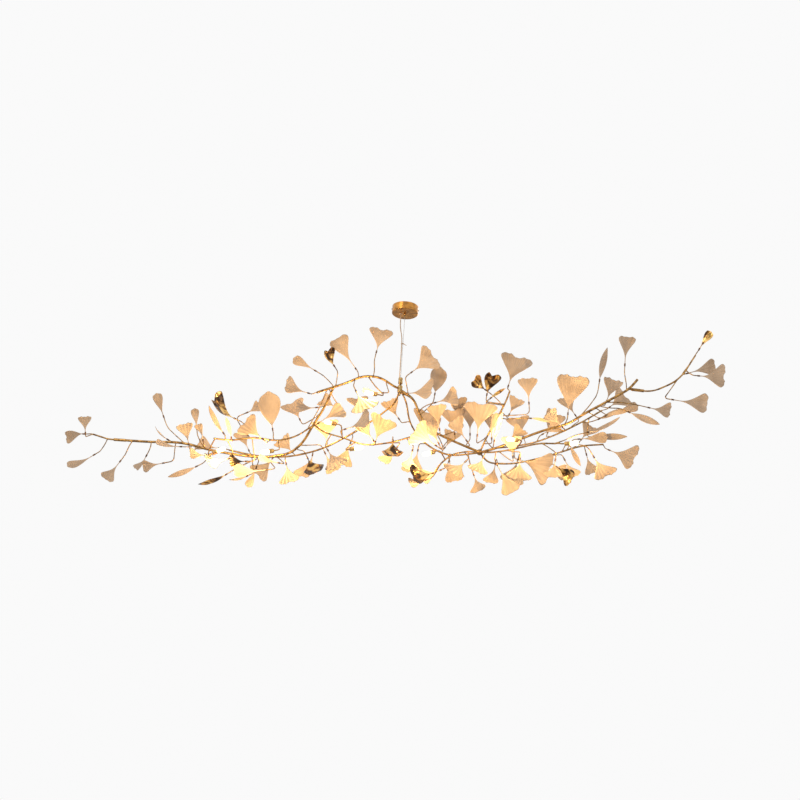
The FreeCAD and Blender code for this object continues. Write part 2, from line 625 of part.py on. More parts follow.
def make_gripper_nut():
    corners = []
    for step in range(7):
        angle = math.radians(60 * step)
        radius = GRIPPER_NUT_ACROSS_FLATS / math.sqrt(3)
        corners.append(Vector(radius * math.cos(angle), radius * math.sin(angle), -BRACKET_DROP))
    nut = Part.Face(Part.makePolygon(corners)).extrude(Vector(0, 0, GRIPPER_NUT_HEIGHT))
    bore = GRIPPER_SHANK_DIAMETER + 2 * FIT_CLEARANCE
    return nut.cut(cylinder(bore, 3 * GRIPPER_NUT_HEIGHT, Vector(0, 0, 0)))


def make_gripper_body():
    shank_height = BRACKET_THICKNESS + GRIPPER_NUT_HEIGHT + 1
    body = cylinder(GRIPPER_DIAMETER, GRIPPER_LENGTH, Vector(0, 0, BRIDGE_UNDERSIDE))
    shank = cylinder(GRIPPER_SHANK_DIAMETER, shank_height, Vector(0, 0, BRIDGE_UNDERSIDE + shank_height))
    cavity_height = NIPPLE_LENGTH - NIPPLE_STAND_OUT + NIPPLE_TRAVEL + 2 * RUNNING_CLEARANCE
    bottom = Vector(0, 0, GRIPPER_BOTTOM)
    cavity = Part.makeCylinder(NIPPLE_DIAMETER / 2 + RUNNING_CLEARANCE, cavity_height, bottom)
    wire_hole_radius = (WIRE_DIAMETER + FIT_CLEARANCE) / 2
    wire_hole = Part.makeCylinder(wire_hole_radius, GRIPPER_LENGTH - GRIPPER_ROOF, bottom)
    return body.fuse(shank).cut([cavity, wire_hole])


def make_gripper_nipple():
    bottom = Vector(0, 0, GRIPPER_BOTTOM - NIPPLE_STAND_OUT)
    nipple = Part.makeCylinder(NIPPLE_DIAMETER / 2, NIPPLE_LENGTH, bottom)
    return nipple.cut(Part.makeCylinder(WIRE_DIAMETER / 2 + RUNNING_CLEARANCE, NIPPLE_LENGTH, bottom))


def make_terminal_block():
    width, depth, height = TERMINAL_BLOCK_SIZE
    corner = Vector(-CORD_OUTLET_OFFSET - width / 2, -depth / 2, BRIDGE_UNDERSIDE - height)
    block = Part.makeBox(width, depth, height, corner)
    grooves = []
    groove_width, groove_depth = TERMINAL_GROOVE
    for place in (-depth / 6, depth / 6):
        groove_corner = Vector(corner.x, place - groove_width / 2, corner.z)
        grooves.append(Part.makeBox(width, groove_width, groove_depth, groove_corner))
    return block.cut(grooves)


def make_earth_screw():
    place = Vector(CORD_OUTLET_OFFSET, 0, BRIDGE_UNDERSIDE)
    shank_length = EARTH_SCREW_LENGTH - EARTH_SCREW_HEAD_HEIGHT
    shank = cylinder(EARTH_SCREW_DIAMETER, shank_length, place)
    head_place = along(place, DOWN, shank_length)
    return shank.fuse(cylinder(2 * EARTH_SCREW_DIAMETER, EARTH_SCREW_HEAD_HEIGHT, head_place))


def make_canopy():
    radius = CANOPY_DIAMETER / 2
    outside = cylinder(CANOPY_DIAMETER, CANOPY_HEIGHT, Vector(0, 0, 0))
    lower_rim = [e for e in outside.Edges
                 if len(e.Vertexes) == 1 and abs(e.CenterOfMass.z + CANOPY_HEIGHT) < 0.1]
    outside = outside.makeFillet(CANOPY_EDGE_ROUNDING, lower_rim)
    inside = cylinder(CANOPY_DIAMETER - 2 * CANOPY_WALL, CANOPY_HEIGHT - CANOPY_WALL, Vector(0, 0, 0))
    inner_rim = [e for e in inside.Edges
                 if len(e.Vertexes) == 1 and abs(e.CenterOfMass.z + CANOPY_HEIGHT - CANOPY_WALL) < 0.1]
    inside = inside.makeFillet(CANOPY_EDGE_ROUNDING - CANOPY_WALL / 2, inner_rim)
    grommet_hole = GROMMET_NECK_DIAMETER + 2 * FIT_CLEARANCE
    holes = [
        inside,
        cylinder(GRIPPER_DIAMETER + 2 * RUNNING_CLEARANCE, 2 * CANOPY_HEIGHT, Vector(0, 0, 0)),
        cylinder(grommet_hole, 2 * CANOPY_HEIGHT, Vector(-CORD_OUTLET_OFFSET, 0, 0)),
    ]
    side_hole = SIDE_SCREW_DIAMETER + 2 * FIT_CLEARANCE
    for sign in (-1, 1):
        start = Vector(sign * (radius - 2 * CANOPY_WALL), 0, -SIDE_SCREW_LEVEL)
        holes.append(cylinder(side_hole, 4 * CANOPY_WALL, start, ACROSS * sign))
    return outside.cut(holes)


def make_side_screws():
    """The two knurled screws that clamp the canopy to the bracket's legs."""
    screws = []
    radius = CANOPY_DIAMETER / 2
    tip = BRACKET_LENGTH / 2 - 2 * BRACKET_THICKNESS
    for sign in (-1, 1):
        axis = ACROSS * sign
        level = DOWN * SIDE_SCREW_LEVEL
        shank = cylinder(SIDE_SCREW_DIAMETER, radius + SEAT_GAP - tip, axis * tip + level, axis)
        head_place = axis * (radius + SEAT_GAP) + level
        head = cylinder(SIDE_SCREW_HEAD_DIAMETER, SIDE_SCREW_HEAD_HEIGHT, head_place, axis)
        screws.append(shank.fuse(head))
    return screws


def make_grommet():
    place = Vector(-CORD_OUTLET_OFFSET, 0, -CANOPY_HEIGHT)
    flange = cylinder(GROMMET_FLANGE_DIAMETER, GROMMET_FLANGE_HEIGHT, place)
    neck = cylinder(GROMMET_NECK_DIAMETER, 2 * CANOPY_WALL, place - DOWN * 2 * CANOPY_WALL)
    bore = cylinder(CORD_DIAMETER + 2 * RUNNING_CLEARANCE, CANOPY_HEIGHT, place - DOWN * CANOPY_HEIGHT / 2)
    return flange.fuse(neck).cut(bore)


# ---------------------------------------------------------------- suspension
COUPLING_BOTTOM = -HUB_TOP + STEM_NECK - STEM_HEAD_HEIGHT - 2 * SEAT_GAP
COUPLING_TOP = COUPLING_BOTTOM + COUPLING_RING_HEIGHT + COUPLING_HEIGHT
COUPLING_ROOF_UNDERSIDE = COUPLING_TOP - COUPLING_ROOF


def make_wire():
    bottom = Vector(0, 0, COUPLING_ROOF_UNDERSIDE)
    top = GRIPPER_BOTTOM + GRIPPER_LENGTH - WIRE_END_DEPTH
    return Part.makeCylinder(WIRE_DIAMETER / 2, top - bottom.z, bottom)


def make_wire_stop():
    return cylinder(WIRE_STOP_DIAMETER, WIRE_STOP_LENGTH, Vector(0, 0, COUPLING_ROOF_UNDERSIDE))


def make_power_cord():
    points = [Vector(p) for p in CORD_POINTS]
    points[0].z = BRIDGE_UNDERSIDE - TERMINAL_BLOCK_SIZE[2]
    points[-1].z = COUPLING_TOP
    line, radii = rounded_line(points)
    cord = tube(points, CORD_DIAMETER)
    section = math.pi * CORD_DIAMETER ** 2 / 4
    print("cord length %.1f  radii %s" % (line.Length, ["%.0f" % r for r in radii]))
    print("cord volume / (section x length) %.4f" % (cord.Volume / (section * line.Length)))
    return cord


def make_cord_tie():
    """The small band that holds the cord to the wire, with its cut tail."""
    above, below = [Vector(p) for p in CORD_POINTS[4:6]]
    cord_centre = above.x + (below.x - above.x) * (above.z + CORD_TIE_LEVEL) / (above.z - below.z)
    inner = CORD_DIAMETER / 2 + SEAT_GAP
    outer = inner + CORD_TIE_THICKNESS
    level = -CORD_TIE_LEVEL - CORD_TIE_HEIGHT / 2
    wire_side = WIRE_DIAMETER / 2 + FIT_CLEARANCE

    def band(cord_radius, wire_radius):
        around_cord = Part.makeCylinder(cord_radius, CORD_TIE_HEIGHT, Vector(cord_centre, 0, level))
        around_wire = Part.makeCylinder(wire_radius, CORD_TIE_HEIGHT, Vector(0, 0, level))
        corners = [Vector(cord_centre, cord_radius, level), Vector(0, wire_radius, level),
                   Vector(0, -wire_radius, level), Vector(cord_centre, -cord_radius, level)]
        bridge = Part.Face(Part.makePolygon(corners + corners[:1])).extrude(Vector(0, 0, CORD_TIE_HEIGHT))
        return around_cord.fuse([around_wire, bridge])

    tail = Part.makeBox(CORD_TIE_TAIL, CORD_TIE_THICKNESS, CORD_TIE_HEIGHT - 0.6,
                        Vector(wire_side + CORD_TIE_THICKNESS / 2, -CORD_TIE_THICKNESS / 2, level + 0.3))
    tail.rotate(Vector(0, 0, -CORD_TIE_LEVEL), Vector(0, 1, 0), 25)
    head = Part.makeBox(3, 3.4, CORD_TIE_HEIGHT + 1, Vector(wire_side + 0.3, -1.7, level - 0.5))
    return band(outer, wire_side + CORD_TIE_THICKNESS).fuse([tail, head]).cut(band(inner, wire_side))


def make_coupling_cap():
    body = cylinder(COUPLING_DIAMETER, COUPLING_HEIGHT, Vector(0, 0, COUPLING_TOP))
    top_rim = [e for e in body.Edges if len(e.Vertexes) == 1 and abs(e.CenterOfMass.z - COUPLING_TOP) < 0.1]
    body = body.makeFillet(2, top_rim)
    cavity = cylinder(COUPLING_CAVITY_DIAMETER, COUPLING_HEIGHT, Vector(0, 0, COUPLING_ROOF_UNDERSIDE))
    wire_hole = cylinder(WIRE_DIAMETER + FIT_CLEARANCE, COUPLING_HEIGHT, Vector(0, 0, COUPLING_TOP + 1))
    return body.cut([cavity, wire_hole])


def make_coupling_ring():
    top = Vector(0, 0, COUPLING_BOTTOM + COUPLING_RING_HEIGHT)
    ring = cylinder(COUPLING_DIAMETER, COUPLING_RING_HEIGHT, top)
    bore = STEM_DIAMETER + 2 * RUNNING_CLEARANCE
    return ring.cut(cylinder(bore, COUPLING_RING_HEIGHT, top))


def make_swivel_stem():
    head_bottom = COUPLING_BOTTOM + COUPLING_RING_HEIGHT + SEAT_GAP
    head = Part.makeCylinder(STEM_HEAD_DIAMETER / 2, STEM_HEAD_HEIGHT, Vector(0, 0, head_bottom))
    neck = Part.makeCylinder(STEM_DIAMETER / 2, head_bottom + HUB_TOP, Vector(0, 0, -HUB_TOP))
    spigot_diameter = STEM_DIAMETER - 2
    spigot = cylinder(spigot_diameter, STEM_SPIGOT_LENGTH, Vector(0, 0, -HUB_TOP))
    return head.fuse([neck, spigot])


def make_hub():
    hub = cylinder(HUB_DIAMETER, HUB_HEIGHT, Vector(0, 0, -HUB_TOP))
    socket = cylinder(STEM_DIAMETER - 2 + 2 * FIT_CLEARANCE, STEM_SPIGOT_LENGTH, Vector(0, 0, -HUB_TOP))
    return hub.cut(socket)


def make_hub_cover():
    bottom = Vector(0, 0, -HUB_TOP - HUB_HEIGHT)
    cover = cylinder(HUB_COVER_DIAMETER, HUB_COVER_HEIGHT, bottom)
    finial = Part.makeCone(FINIAL_DIAMETER / 2, 1.5, FINIAL_HEIGHT, bottom + DOWN * HUB_COVER_HEIGHT, DOWN)
    return cover.fuse(finial)


# ---------------------------------------------------------------- boughs and what they carry
def make_sleeve(start, axis, begin):
    """The open socket that a tip spray turns in."""
    bore = SPIGOT_DIAMETER + 2 * RUNNING_CLEARANCE
    outside = cylinder(bore + 2 * SLEEVE_WALL, SLEEVE_LENGTH, along(start, axis, begin), axis)
    hole = cylinder(bore, SLEEVE_LENGTH, along(start, axis, begin + SLEEVE_FLOOR), axis)
    return outside, hole


def leaves_of(name):
    """Every leaf of a bough: porcelain ones first, then the gilded ones."""
    return PORCELAIN.get(name, []) + GILDED.get(name, [])


def make_bough(name, finished):
    diameter, brazed_to, places = BOUGHS[name]
    points = [placed(p) for p in places]
    if "hub" in brazed_to:
        points[0] = Vector(places[0])
    line = rounded_line(points)[0]
    pieces = []
    for number, (station, foot, aim, lean, turn, shape_name, length) in enumerate(leaves_of(name)):
        start = point_on(line, points, station)
        side = 1 if number % 2 else -1
        pieces.append(tube(twig_line(start, placed(foot), heading(aim, lean), side), TWIG_DIAMETER))
    for bough, station, back, aim, lean in LAMPS:
        if bough == name:
            start = point_on(line, points, station)
            pieces.append(tube(twig_line(start, placed(back), heading(aim, lean), 1), LAMP_STEM_DIAMETER))
    if name == "centre_bough":
        pieces.append(Part.makeSphere(KNOT_DIAMETER / 2, points[-1]))
    holes = []
    if name == "left_bough":
        sleeve, hole = make_sleeve(placed(SLEEVE_START_LEFT), SLEEVE_AXIS_LEFT, -LEFT_SLEEVE_SETBACK)
        pieces.append(sleeve)
        holes.append(hole)
    if name == "right_bough":
        start = placed(SLEEVE_START_RIGHT)
        sleeve, hole = make_sleeve(start, SLEEVE_AXIS_RIGHT, RIGHT_SLEEVE_SETBACK)
        pieces.append(sleeve)
        pieces.append(cylinder(SPIGOT_DIAMETER, SLEEVE_STUB, start, SLEEVE_AXIS_RIGHT))
        holes.append(hole)
    bough = tube(points, diameter).fuse(pieces)
    holes += [finished[other] for other in brazed_to]
    if holes:
        bough = bough.cut(holes)
    return max(bough.Solids, key=lambda solid: solid.Volume)


def save(name, solids):
    if not isinstance(solids, list):
        solids = [solids]
    shape = solids[0] if len(solids) == 1 else Part.makeCompound(solids)
    shape.exportStep("parts/%s.step" % name)
    return shape


LEAF_GROUPS = {
    "left_tip_leaves": ["left_tip_bough"],
    "left_leaves": ["left_bough"],
    "left_upper_leaves": ["left_upper_bough"],
    "upper_arc_leaves": ["upper_arc_bough"],
    "low_centre_leaves": ["low_centre_bough", "low_gold_bough"],
    "rear_left_leaves": ["rear_left_bough"],
    "centre_leaves": ["centre_bough", "centre_back_bough", "tall_bough"],
    "right_leaves": ["right_bough"],
    "right_rear_leaves": ["right_rear_bough"],
    "right_front_leaves": ["right_front_bough"],
    "right_low_leaves": ["right_low_bough"],
    "right_tip_leaves": ["right_tip_bough"],
}
GILDED_GROUPS = {
    "left_gilded_leaves": ["left_bough", "left_upper_bough", "upper_arc_bough"],
    "right_gilded_leaves": ["low_centre_bough", "low_gold_bough", "tall_bough", "right_low_bough"],
    "right_tip_gilded_leaf": ["right_tip_bough"],
}
FERRULE_GROUPS = {
    "left_tip_ferrules": ["left_tip_bough"],
    "right_tip_ferrules": ["right_tip_bough"],
    "ferrules": [name for name in BOUGHS if name not in ("left_tip_bough", "right_tip_bough")],
}


def main():
    parts = {
        "ceiling_bracket": make_bracket(),
        "gripper_nut": make_gripper_nut(),
        "gripper_body": make_gripper_body(),
        "gripper_nipple": make_gripper_nipple(),
        "terminal_block": make_terminal_block(),
        "earth_screw": make_earth_screw(),
        "canopy": make_canopy(),
        "canopy_side_screws": make_side_screws(),
        "cord_grommet": make_grommet(),
        "suspension_wire": make_wire(),
        "wire_stop": make_wire_stop(),
        "power_cord": make_power_cord(),
        "cord_tie": make_cord_tie(),
        "coupling_cap": make_coupling_cap(),
        "coupling_ring": make_coupling_ring(),
        "swivel_stem": make_swivel_stem(),
        "hub": make_hub(),
        "hub_cover": make_hub_cover(),
    }
    whole_hub = cylinder(HUB_DIAMETER, HUB_HEIGHT, Vector(0, 0, -HUB_TOP))
    finished = {"hub": whole_hub}
    for name in BOUGHS:
        finished[name] = make_bough(name, finished)
        parts[name] = finished[name]
    for groups, leaves in ((LEAF_GROUPS, PORCELAIN), (GILDED_GROUPS, GILDED)):
        for node, boughs in groups.items():
            parts[node] = [
                place_leaf(placed(foot), heading(aim, lean), turn, shape_name, length)
                for name in boughs
                for station, foot, aim, lean, turn, shape_name, length in leaves.get(name, [])]
    for node, boughs in FERRULE_GROUPS.items():
        parts[node] = [
            make_ferrule(placed(foot), heading(aim, lean))
            for name in boughs
            for station, foot, aim, lean, turn, shape_name, length in leaves_of(name)]
    parts["lamp_holders"] = []
    for number, (bough, station, back, aim, lean) in enumerate(LAMPS, 1):
        parts["lamp_holders"].append(make_lamp_holder(placed(back), heading(aim, lean)))
        parts["bulb_%d" % number] = make_bulb(placed(back), heading(aim, lean))
    for name, shape in parts.items():
        parts[name] = save(name, shape)
    return parts


PARTS = main()
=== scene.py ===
import json
import math

import bmesh
import bpy
import numpy as np
from bpy.props import FloatProperty, FloatVectorProperty, PointerProperty
from mathutils import Matrix, Vector

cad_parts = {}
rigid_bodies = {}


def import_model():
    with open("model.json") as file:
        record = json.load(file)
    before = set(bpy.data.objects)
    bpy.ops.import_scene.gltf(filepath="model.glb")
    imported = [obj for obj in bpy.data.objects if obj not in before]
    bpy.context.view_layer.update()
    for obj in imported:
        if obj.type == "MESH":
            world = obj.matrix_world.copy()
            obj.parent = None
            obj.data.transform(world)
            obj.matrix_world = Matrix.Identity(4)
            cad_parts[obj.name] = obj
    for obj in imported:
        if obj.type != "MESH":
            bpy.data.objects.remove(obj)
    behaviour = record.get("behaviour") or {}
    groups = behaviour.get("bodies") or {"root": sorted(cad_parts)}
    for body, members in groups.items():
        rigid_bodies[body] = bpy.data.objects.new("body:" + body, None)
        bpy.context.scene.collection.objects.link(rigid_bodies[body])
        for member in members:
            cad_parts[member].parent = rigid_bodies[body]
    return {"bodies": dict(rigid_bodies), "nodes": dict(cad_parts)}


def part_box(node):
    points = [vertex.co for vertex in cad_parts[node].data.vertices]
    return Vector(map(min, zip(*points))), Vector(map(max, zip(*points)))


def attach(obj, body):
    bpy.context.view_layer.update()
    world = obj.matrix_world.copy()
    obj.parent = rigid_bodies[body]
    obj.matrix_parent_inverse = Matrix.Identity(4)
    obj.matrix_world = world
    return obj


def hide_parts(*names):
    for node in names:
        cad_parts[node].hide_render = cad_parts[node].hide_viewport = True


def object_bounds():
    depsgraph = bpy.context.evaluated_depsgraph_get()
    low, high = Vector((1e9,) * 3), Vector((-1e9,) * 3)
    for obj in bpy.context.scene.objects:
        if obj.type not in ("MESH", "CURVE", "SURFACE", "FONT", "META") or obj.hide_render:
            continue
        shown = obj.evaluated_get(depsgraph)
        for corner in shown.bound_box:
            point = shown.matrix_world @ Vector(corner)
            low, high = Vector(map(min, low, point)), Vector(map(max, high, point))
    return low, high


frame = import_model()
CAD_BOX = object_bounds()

# A branch chandelier: porcelain and gilded ginkgo leaves on brass boughs, hung on one wire
# below a round ceiling canopy.  Metres, +Z up, the origin at the centre of the ceiling face.

bl_info = {
    "name": "Branch Chandelier",
    "version": (1, 0, 0),
    "blender": (4, 5, 0),
    "location": "3D View > Sidebar > Chandelier",
    "description": "Dresses the boughs, leaves, lamps and ceiling parts of a branch chandelier",
    "category": "Add Mesh",
}

MM = 0.001
WELD_DISTANCE = 0.01 * MM

# ---- what the frame holds
BOUGHS = [
    "upper_arc_bough", "left_bough", "left_upper_bough", "low_centre_bough", "rear_left_bough",
    "centre_bough", "centre_back_bough", "right_bough", "right_rear_bough", "right_front_bough",
    "right_low_bough", "tall_bough", "low_gold_bough", "left_tip_bough", "right_tip_bough",
]
PORCELAIN_NODES = [
    "left_tip_leaves", "left_leaves", "left_upper_leaves", "upper_arc_leaves", "low_centre_leaves",
    "rear_left_leaves", "centre_leaves", "right_leaves", "right_rear_leaves", "right_front_leaves",
    "right_low_leaves", "right_tip_leaves",
]
GILDED_NODES = ["left_gilded_leaves", "right_gilded_leaves", "right_tip_gilded_leaf"]
FERRULE_NODES = ["ferrules", "left_tip_ferrules", "right_tip_ferrules"]
BULBS = ["bulb_%d" % number for number in range(1, 9)]
SLOT_NODES = {
    "galvanised_steel": ["ceiling_bracket", "gripper_nut", "earth_screw"],
    "polished_fittings": [
        "gripper_body", "gripper_nipple", "canopy_side_screws", "wire_stop", "coupling_cap", "coupling_ring",
        "swivel_stem", "hub", "hub_cover"],
    "brushed_gold": ["canopy"],
    "steel_wire": ["suspension_wire"],
    "cord_sheath": ["power_cord", "cord_grommet", "cord_tie"],
    "terminal_plastic": ["terminal_block"],
    "antique_brass": BOUGHS,
    "dark_brass": FERRULE_NODES,
    "holder_brass": ["lamp_holders"],
    "porcelain": PORCELAIN_NODES,
    "gilded_porcelain": GILDED_NODES,
    "lit_glass": BULBS,
}

# Shape of a leaf: half its width and its stalk as shares of its length, the radii that it is rolled
# to across and bent to along its line as shares of its length, how late it flares, how blunt and how
# round its rim is, the depth of its middle notch and the number of lobes along its rim.
LEAF_SHAPES = {
    "wide": (0.50, 0.18, 1.30, 2.50, 1.7, 7.0, 0.50, 0.15, 5),
    "fan": (0.40, 0.20, 0.75, 1.90, 1.9, 6.0, 0.50, 0.08, 4),
    "shell": (0.44, 0.16, 0.62, 1.15, 1.5, 5.0, 0.50, 0.09, 5),
    "long": (0.30, 0.22, 0.50, 2.00, 2.1, 6.0, 0.50, 0.05, 3),
    "spoon": (0.21, 0.22, 0.60, 1.80, 1.5, 4.0, 0.50, 0.00, 2),
    "petal": (0.30, 0.14, 0.70, 1.70, 1.0, 2.6, 0.70, 0.00, 2),
    "slim": (0.11, 0.12, 0.28, 1.50, 0.9, 2.0, 0.85, 0.00, 1),
    "curl": (0.42, 0.14, 0.56, 1.15, 1.3, 4.0, 0.50, 0.22, 3),
}
OUTLINE_STATIONS = 1 - (1 - np.arange(12) / 11) ** 2
NOTCH_WIDTH = 0.28
LOBE_DEPTH = 0.03
LEAF_LENGTHS = (65, 80, 95, 110, 125, 140)
LEAF_THICKNESS = 2.4 * MM
STALK_FOOT_RADIUS = 1.8 * MM
STALK_NECK_RADIUS = 1.5 * MM

# The power cord's line in mm, from the terminal block to the coupling that it enters.
CORD_POINTS = [
    (-16.0, 0.0, -21.0), (-16.0, 0.0, -72.0), (-13.2, 0.6, -98.0), (-8.2, 0.8, -119.0),
    (-4.9, 0.2, -143.0), (-4.5, -0.2, -186.0), (-4.7, 0.1, -246.0), (-4.5, 0.0, -304.6)]
CORD_DIAMETER = 4.0 * MM
WIRE_DIAMETER = 1.6 * MM


def arc(radius, wide, high, angles):
    """Profile points round a centre, whose radius and height are each given as (share, mm)."""
    return [(wide[0], high[0], wide[1] + radius * math.cos(angle), high[1] + radius * math.sin(angle))
            for angle in map(math.radians, angles)]


def grooves(depth, half, levels):
    """Profile points of grooves, each at a (share, mm) level."""
    return [point for share, level in levels for point in (
        (1, share, 0, level + half), (1, share, -depth, level), (1, share, 0, level - half))]


# Profiles of the turned pieces.  A point's radius and height are shares of the piece's own, and two
# further numbers are mm that are added to them.
PROFILES = {
    "ferrule": [
        (0, 0), (0.82, 0), (1, 0.08), (0.95, 0.16), (0.88, 0.30), (0.96, 0.38), (0.86, 0.48), (0.96, 0.58),
        (0.88, 0.70), (0.90, 0.84), (1, 0.92), (0.94, 1), (0, 0.97, 1.95, 0), (0, 0.5, 1.95, 0), (0, 0.5)],
    "lamp_holder": [
        (0, 0), (0.45, 0), (0.80, 0.05), (0.96, 0.13), (1, 0.22), (1, 0.30), (0.92, 0.33), (0.92, 0.38),
        (1, 0.41), (1, 0.78), (0.94, 0.81), (0.94, 0.87), (1, 0.90), (1, 0.98), (0.97, 1),
        (1, 1, -1.8, 0), (1, 1, -1.8, -13), (0, 1, 0, -13)],
    "bulb": [
        (0, 0), (0, 0, 4.64, 0), (0, 0, 5.452, 0.4), (0, 0, 5.452, 6.3), (0, 0, 5.8, 7), (0, 0, 5.8, 12.04),
        (0, 0, 5.22, 12.6), (0, 0, 5.22, 13.58), (1, 0, -1.2, 14), (1, 0, 0, 15.4), (1, 0, 0, 22.363),
        (1, 0, 0, 29.326), *arc(7.5, (0, 0), (0, 36.5), range(0, 90, 10)), (0, 1)],
    "canopy": [
        (1, 1, -1.2, 0), (1, 1), *((1, 1, 0, -27 * share) for share in (0.2, 0.4, 0.6, 0.8, 1)),
        *arc(3, (1, -3), (0, 3), range(-15, -91, -15)),
        *((1 - share, 0, 8.4 * share - 3, 0) for share in (0.15, 0.3, 0.45, 0.6, 0.75, 0.9, 1)),
        (0, 0, 5.4, 1.2), (1, 0, -3, 1.2), (1, 0, -1.2, 3), (1, 1, -1.2, 0)],
    "coupling_cap": [
        (0, 1, 0.85, -0.5), (0, 1, 1.35, 0), (1, 1, -2, 0), *arc(2, (1, -2), (1, -2), range(75, -1, -15)),
        *grooves(0.35, 0.4, [(0.65, 0), (0.58, 0)]), (1, 0, 0, 0.5), (1, 0, -0.5, 0), (0, 0, 6.5, 0),
        (0, 1, 6.5, -8), (0, 1, 0.85, -8), (0, 1, 0.85, -0.5)],
    "coupling_ring": [
        (0, 0, 4.4, 0), (1, 0, -0.65, 0), (1, 0, -0.15, 0.5), (1, 1, -0.15, -0.5), (1, 1, -0.65, 0),
        (0, 1, 4.4, 0), (0, 0, 4.4, 0)],
    "swivel_stem": [
        (0, 0), (1, 0, -3.5, 0), (1, 0, -3, 0.5), (1, 0, -3, 10), (1, 0, -2, 10), (1, 1, -2, -4),
        (1, 1, -0.5, -4), (1, 1, 0, -3.5), (1, 1, 0, -0.5), (1, 1, -0.5, 0), (0, 1)],
    "hub": [
        (0, 1, 3.1, 0), (0.78, 1), (0.92, 0.97), (1, 0.90), (1, 0.72), (0.90, 0.68), (0.90, 0.60), (1, 0.55),
        (1, 0.18), (0.94, 0.10), (0.80, 0), (0, 0), (0, 1, 0, -10), (0, 1, 3.1, -10), (0, 1, 3.1, 0)],
    "hub_cover": [
        (0, 1), (0.9, 1), (1, 0.95), (1, 0.76), (0.85, 0.70), (0.42, 0.66), (0.40, 0.58), (0.60, 0.48),
        (0.58, 0.34), (0.40, 0.20), (0.26, 0.08), (0.14, 0), (0, 0)],
    "gripper_body": [
        (0, 1), (1, 1, -1.5, 0), (1, 1, -1, -0.5), (1, 1, -1, -7), (1, 1, -0.5, -7), (1, 1, 0, -7.5),
        *grooves(0.4, 0.5, [(0, 14.85), (0, 12.96), (0, 11.07)]), (1, 0, 0, 2), (1, 0, -0.8, 0),
        (0, 0, 3.4, 0), (0, 0, 3.4, 10.3), (0, 0, 0, 10.3)],
    "gripper_nipple": [
        (0, 0, 1.2, 0), (1, 0, -1.2, 0), (1, 0, -0.3, 0.8), (1, 0, 0, 2), (1, 1, 0, -0.5), (1, 1, -0.5, 0),
        (0, 1, 1.2, 0), (0, 0, 1.2, 0)],
    "cord_grommet": [
        (0, 0, 2.4, 0.4), (0, 0, 2.8, 0), (1, 0, -0.7, 0), (1, 0, -0.1, 0.6), (1, 0, 0, 1.6), (0, 0, 4, 1.6),
        (0, 1, 4, 0), (0, 1, 2.4, 0), (0, 0, 2.4, 0.4)],
    "canopy_side_screw": [
        (0, 0), (0, 0, 1.6, 0), (0, 0, 2, 0.4), (0, 1, 2, -1.6), (1, 1, -0.5, -1.6), (1, 1, 0, -1.1),
        (1, 1, 0, -0.7), (1, 1, -0.7, 0), (0.35, 1), (0.25, 1, 0, -0.5), (0, 1, 0, -0.6)],
}


def profile(name, radius, bottom, top):
    """A profile as (radius, height) pairs in metres."""
    points = []
    for wide, high, *added in PROFILES[name]:
        wider, higher = added or (0, 0)
        points.append((wide * radius + wider * MM, bottom + high * (top - bottom) + higher * MM))
    return points


def body_of_node(name):
    """The body that a node of the frame rides on."""
    parent = frame["nodes"][name].parent
    return next(body for body, empty in frame["bodies"].items() if empty == parent)


def slot_of_node(name):
    """The record's material slot of a node."""
    return next(slot for slot, nodes in SLOT_NODES.items() if name in nodes)


# ---- sizes and colours
def number_setting(name, description, default, **limits):
    return FloatProperty(name=name, description=description, default=default, **limits)


def length_setting(name, description, default_mm):
    return number_setting(name, description, default_mm * MM, min=0.0, subtype="DISTANCE", unit="LENGTH",
                          precision=5)


def angle_setting(name, description, default_degrees):
    return number_setting(name, description, math.radians(default_degrees), subtype="ANGLE", unit="ROTATION")


def colour_setting(name, description, default):
    return FloatVectorProperty(name=name, description=description, default=default, size=3,
                               min=0.0, max=1.0, subtype="COLOR")


class LeafSettings(bpy.types.PropertyGroup):
    """Sizes and colours of the leaves."""
    fold_height: length_setting("Fold height", "Height of the soft folds at a leaf's rim", 0.9)
    ripple_height: length_setting("Ripple height", "How far a rim wanders from its mould", 2.2)
    ripple_size: length_setting("Ripple size", "Width of one ripple", 46.0)
    gilded_ripple_height: length_setting("Gilded ripple", "How far a gilded leaf is beaten out of line", 3.0)
    gilded_ripple_size: length_setting("Gilded ripple size", "Width of one dent in a gilded leaf", 34.0)
    rim_thickness: length_setting("Rim thickness", "Thickness of a leaf just inside its rim", 1.5)
    corner_ease: number_setting("Corner ease", "How blunt the glaze leaves a rim's corners, 1 as cast", 0.7,
                                min=0.1, max=1.0)
    notch_ease: number_setting("Notch ease", "How deep the glaze leaves a rim's notch, 1 as cast", 0.6,
                               min=0.0, max=1.0)
    streaks: number_setting("Streaks", "How close the streaks of the glaze lie", 75.0)
    porcelain: colour_setting("Porcelain", "Glaze of the porcelain leaves", (0.60, 0.43, 0.29))
    porcelain_shade: colour_setting("Porcelain shade", "Glaze where it pools", (0.43, 0.295, 0.19))
    gold: colour_setting("Gold", "Bright gilding", (0.80, 0.46, 0.13))
    # The dark tone is a painted dark reflection, laid over the gold in broad patches.
    painted_dark_reflection: colour_setting("Painted dark reflection", "Dark reflection painted on the gilding", (0.055, 0.026, 0.011))


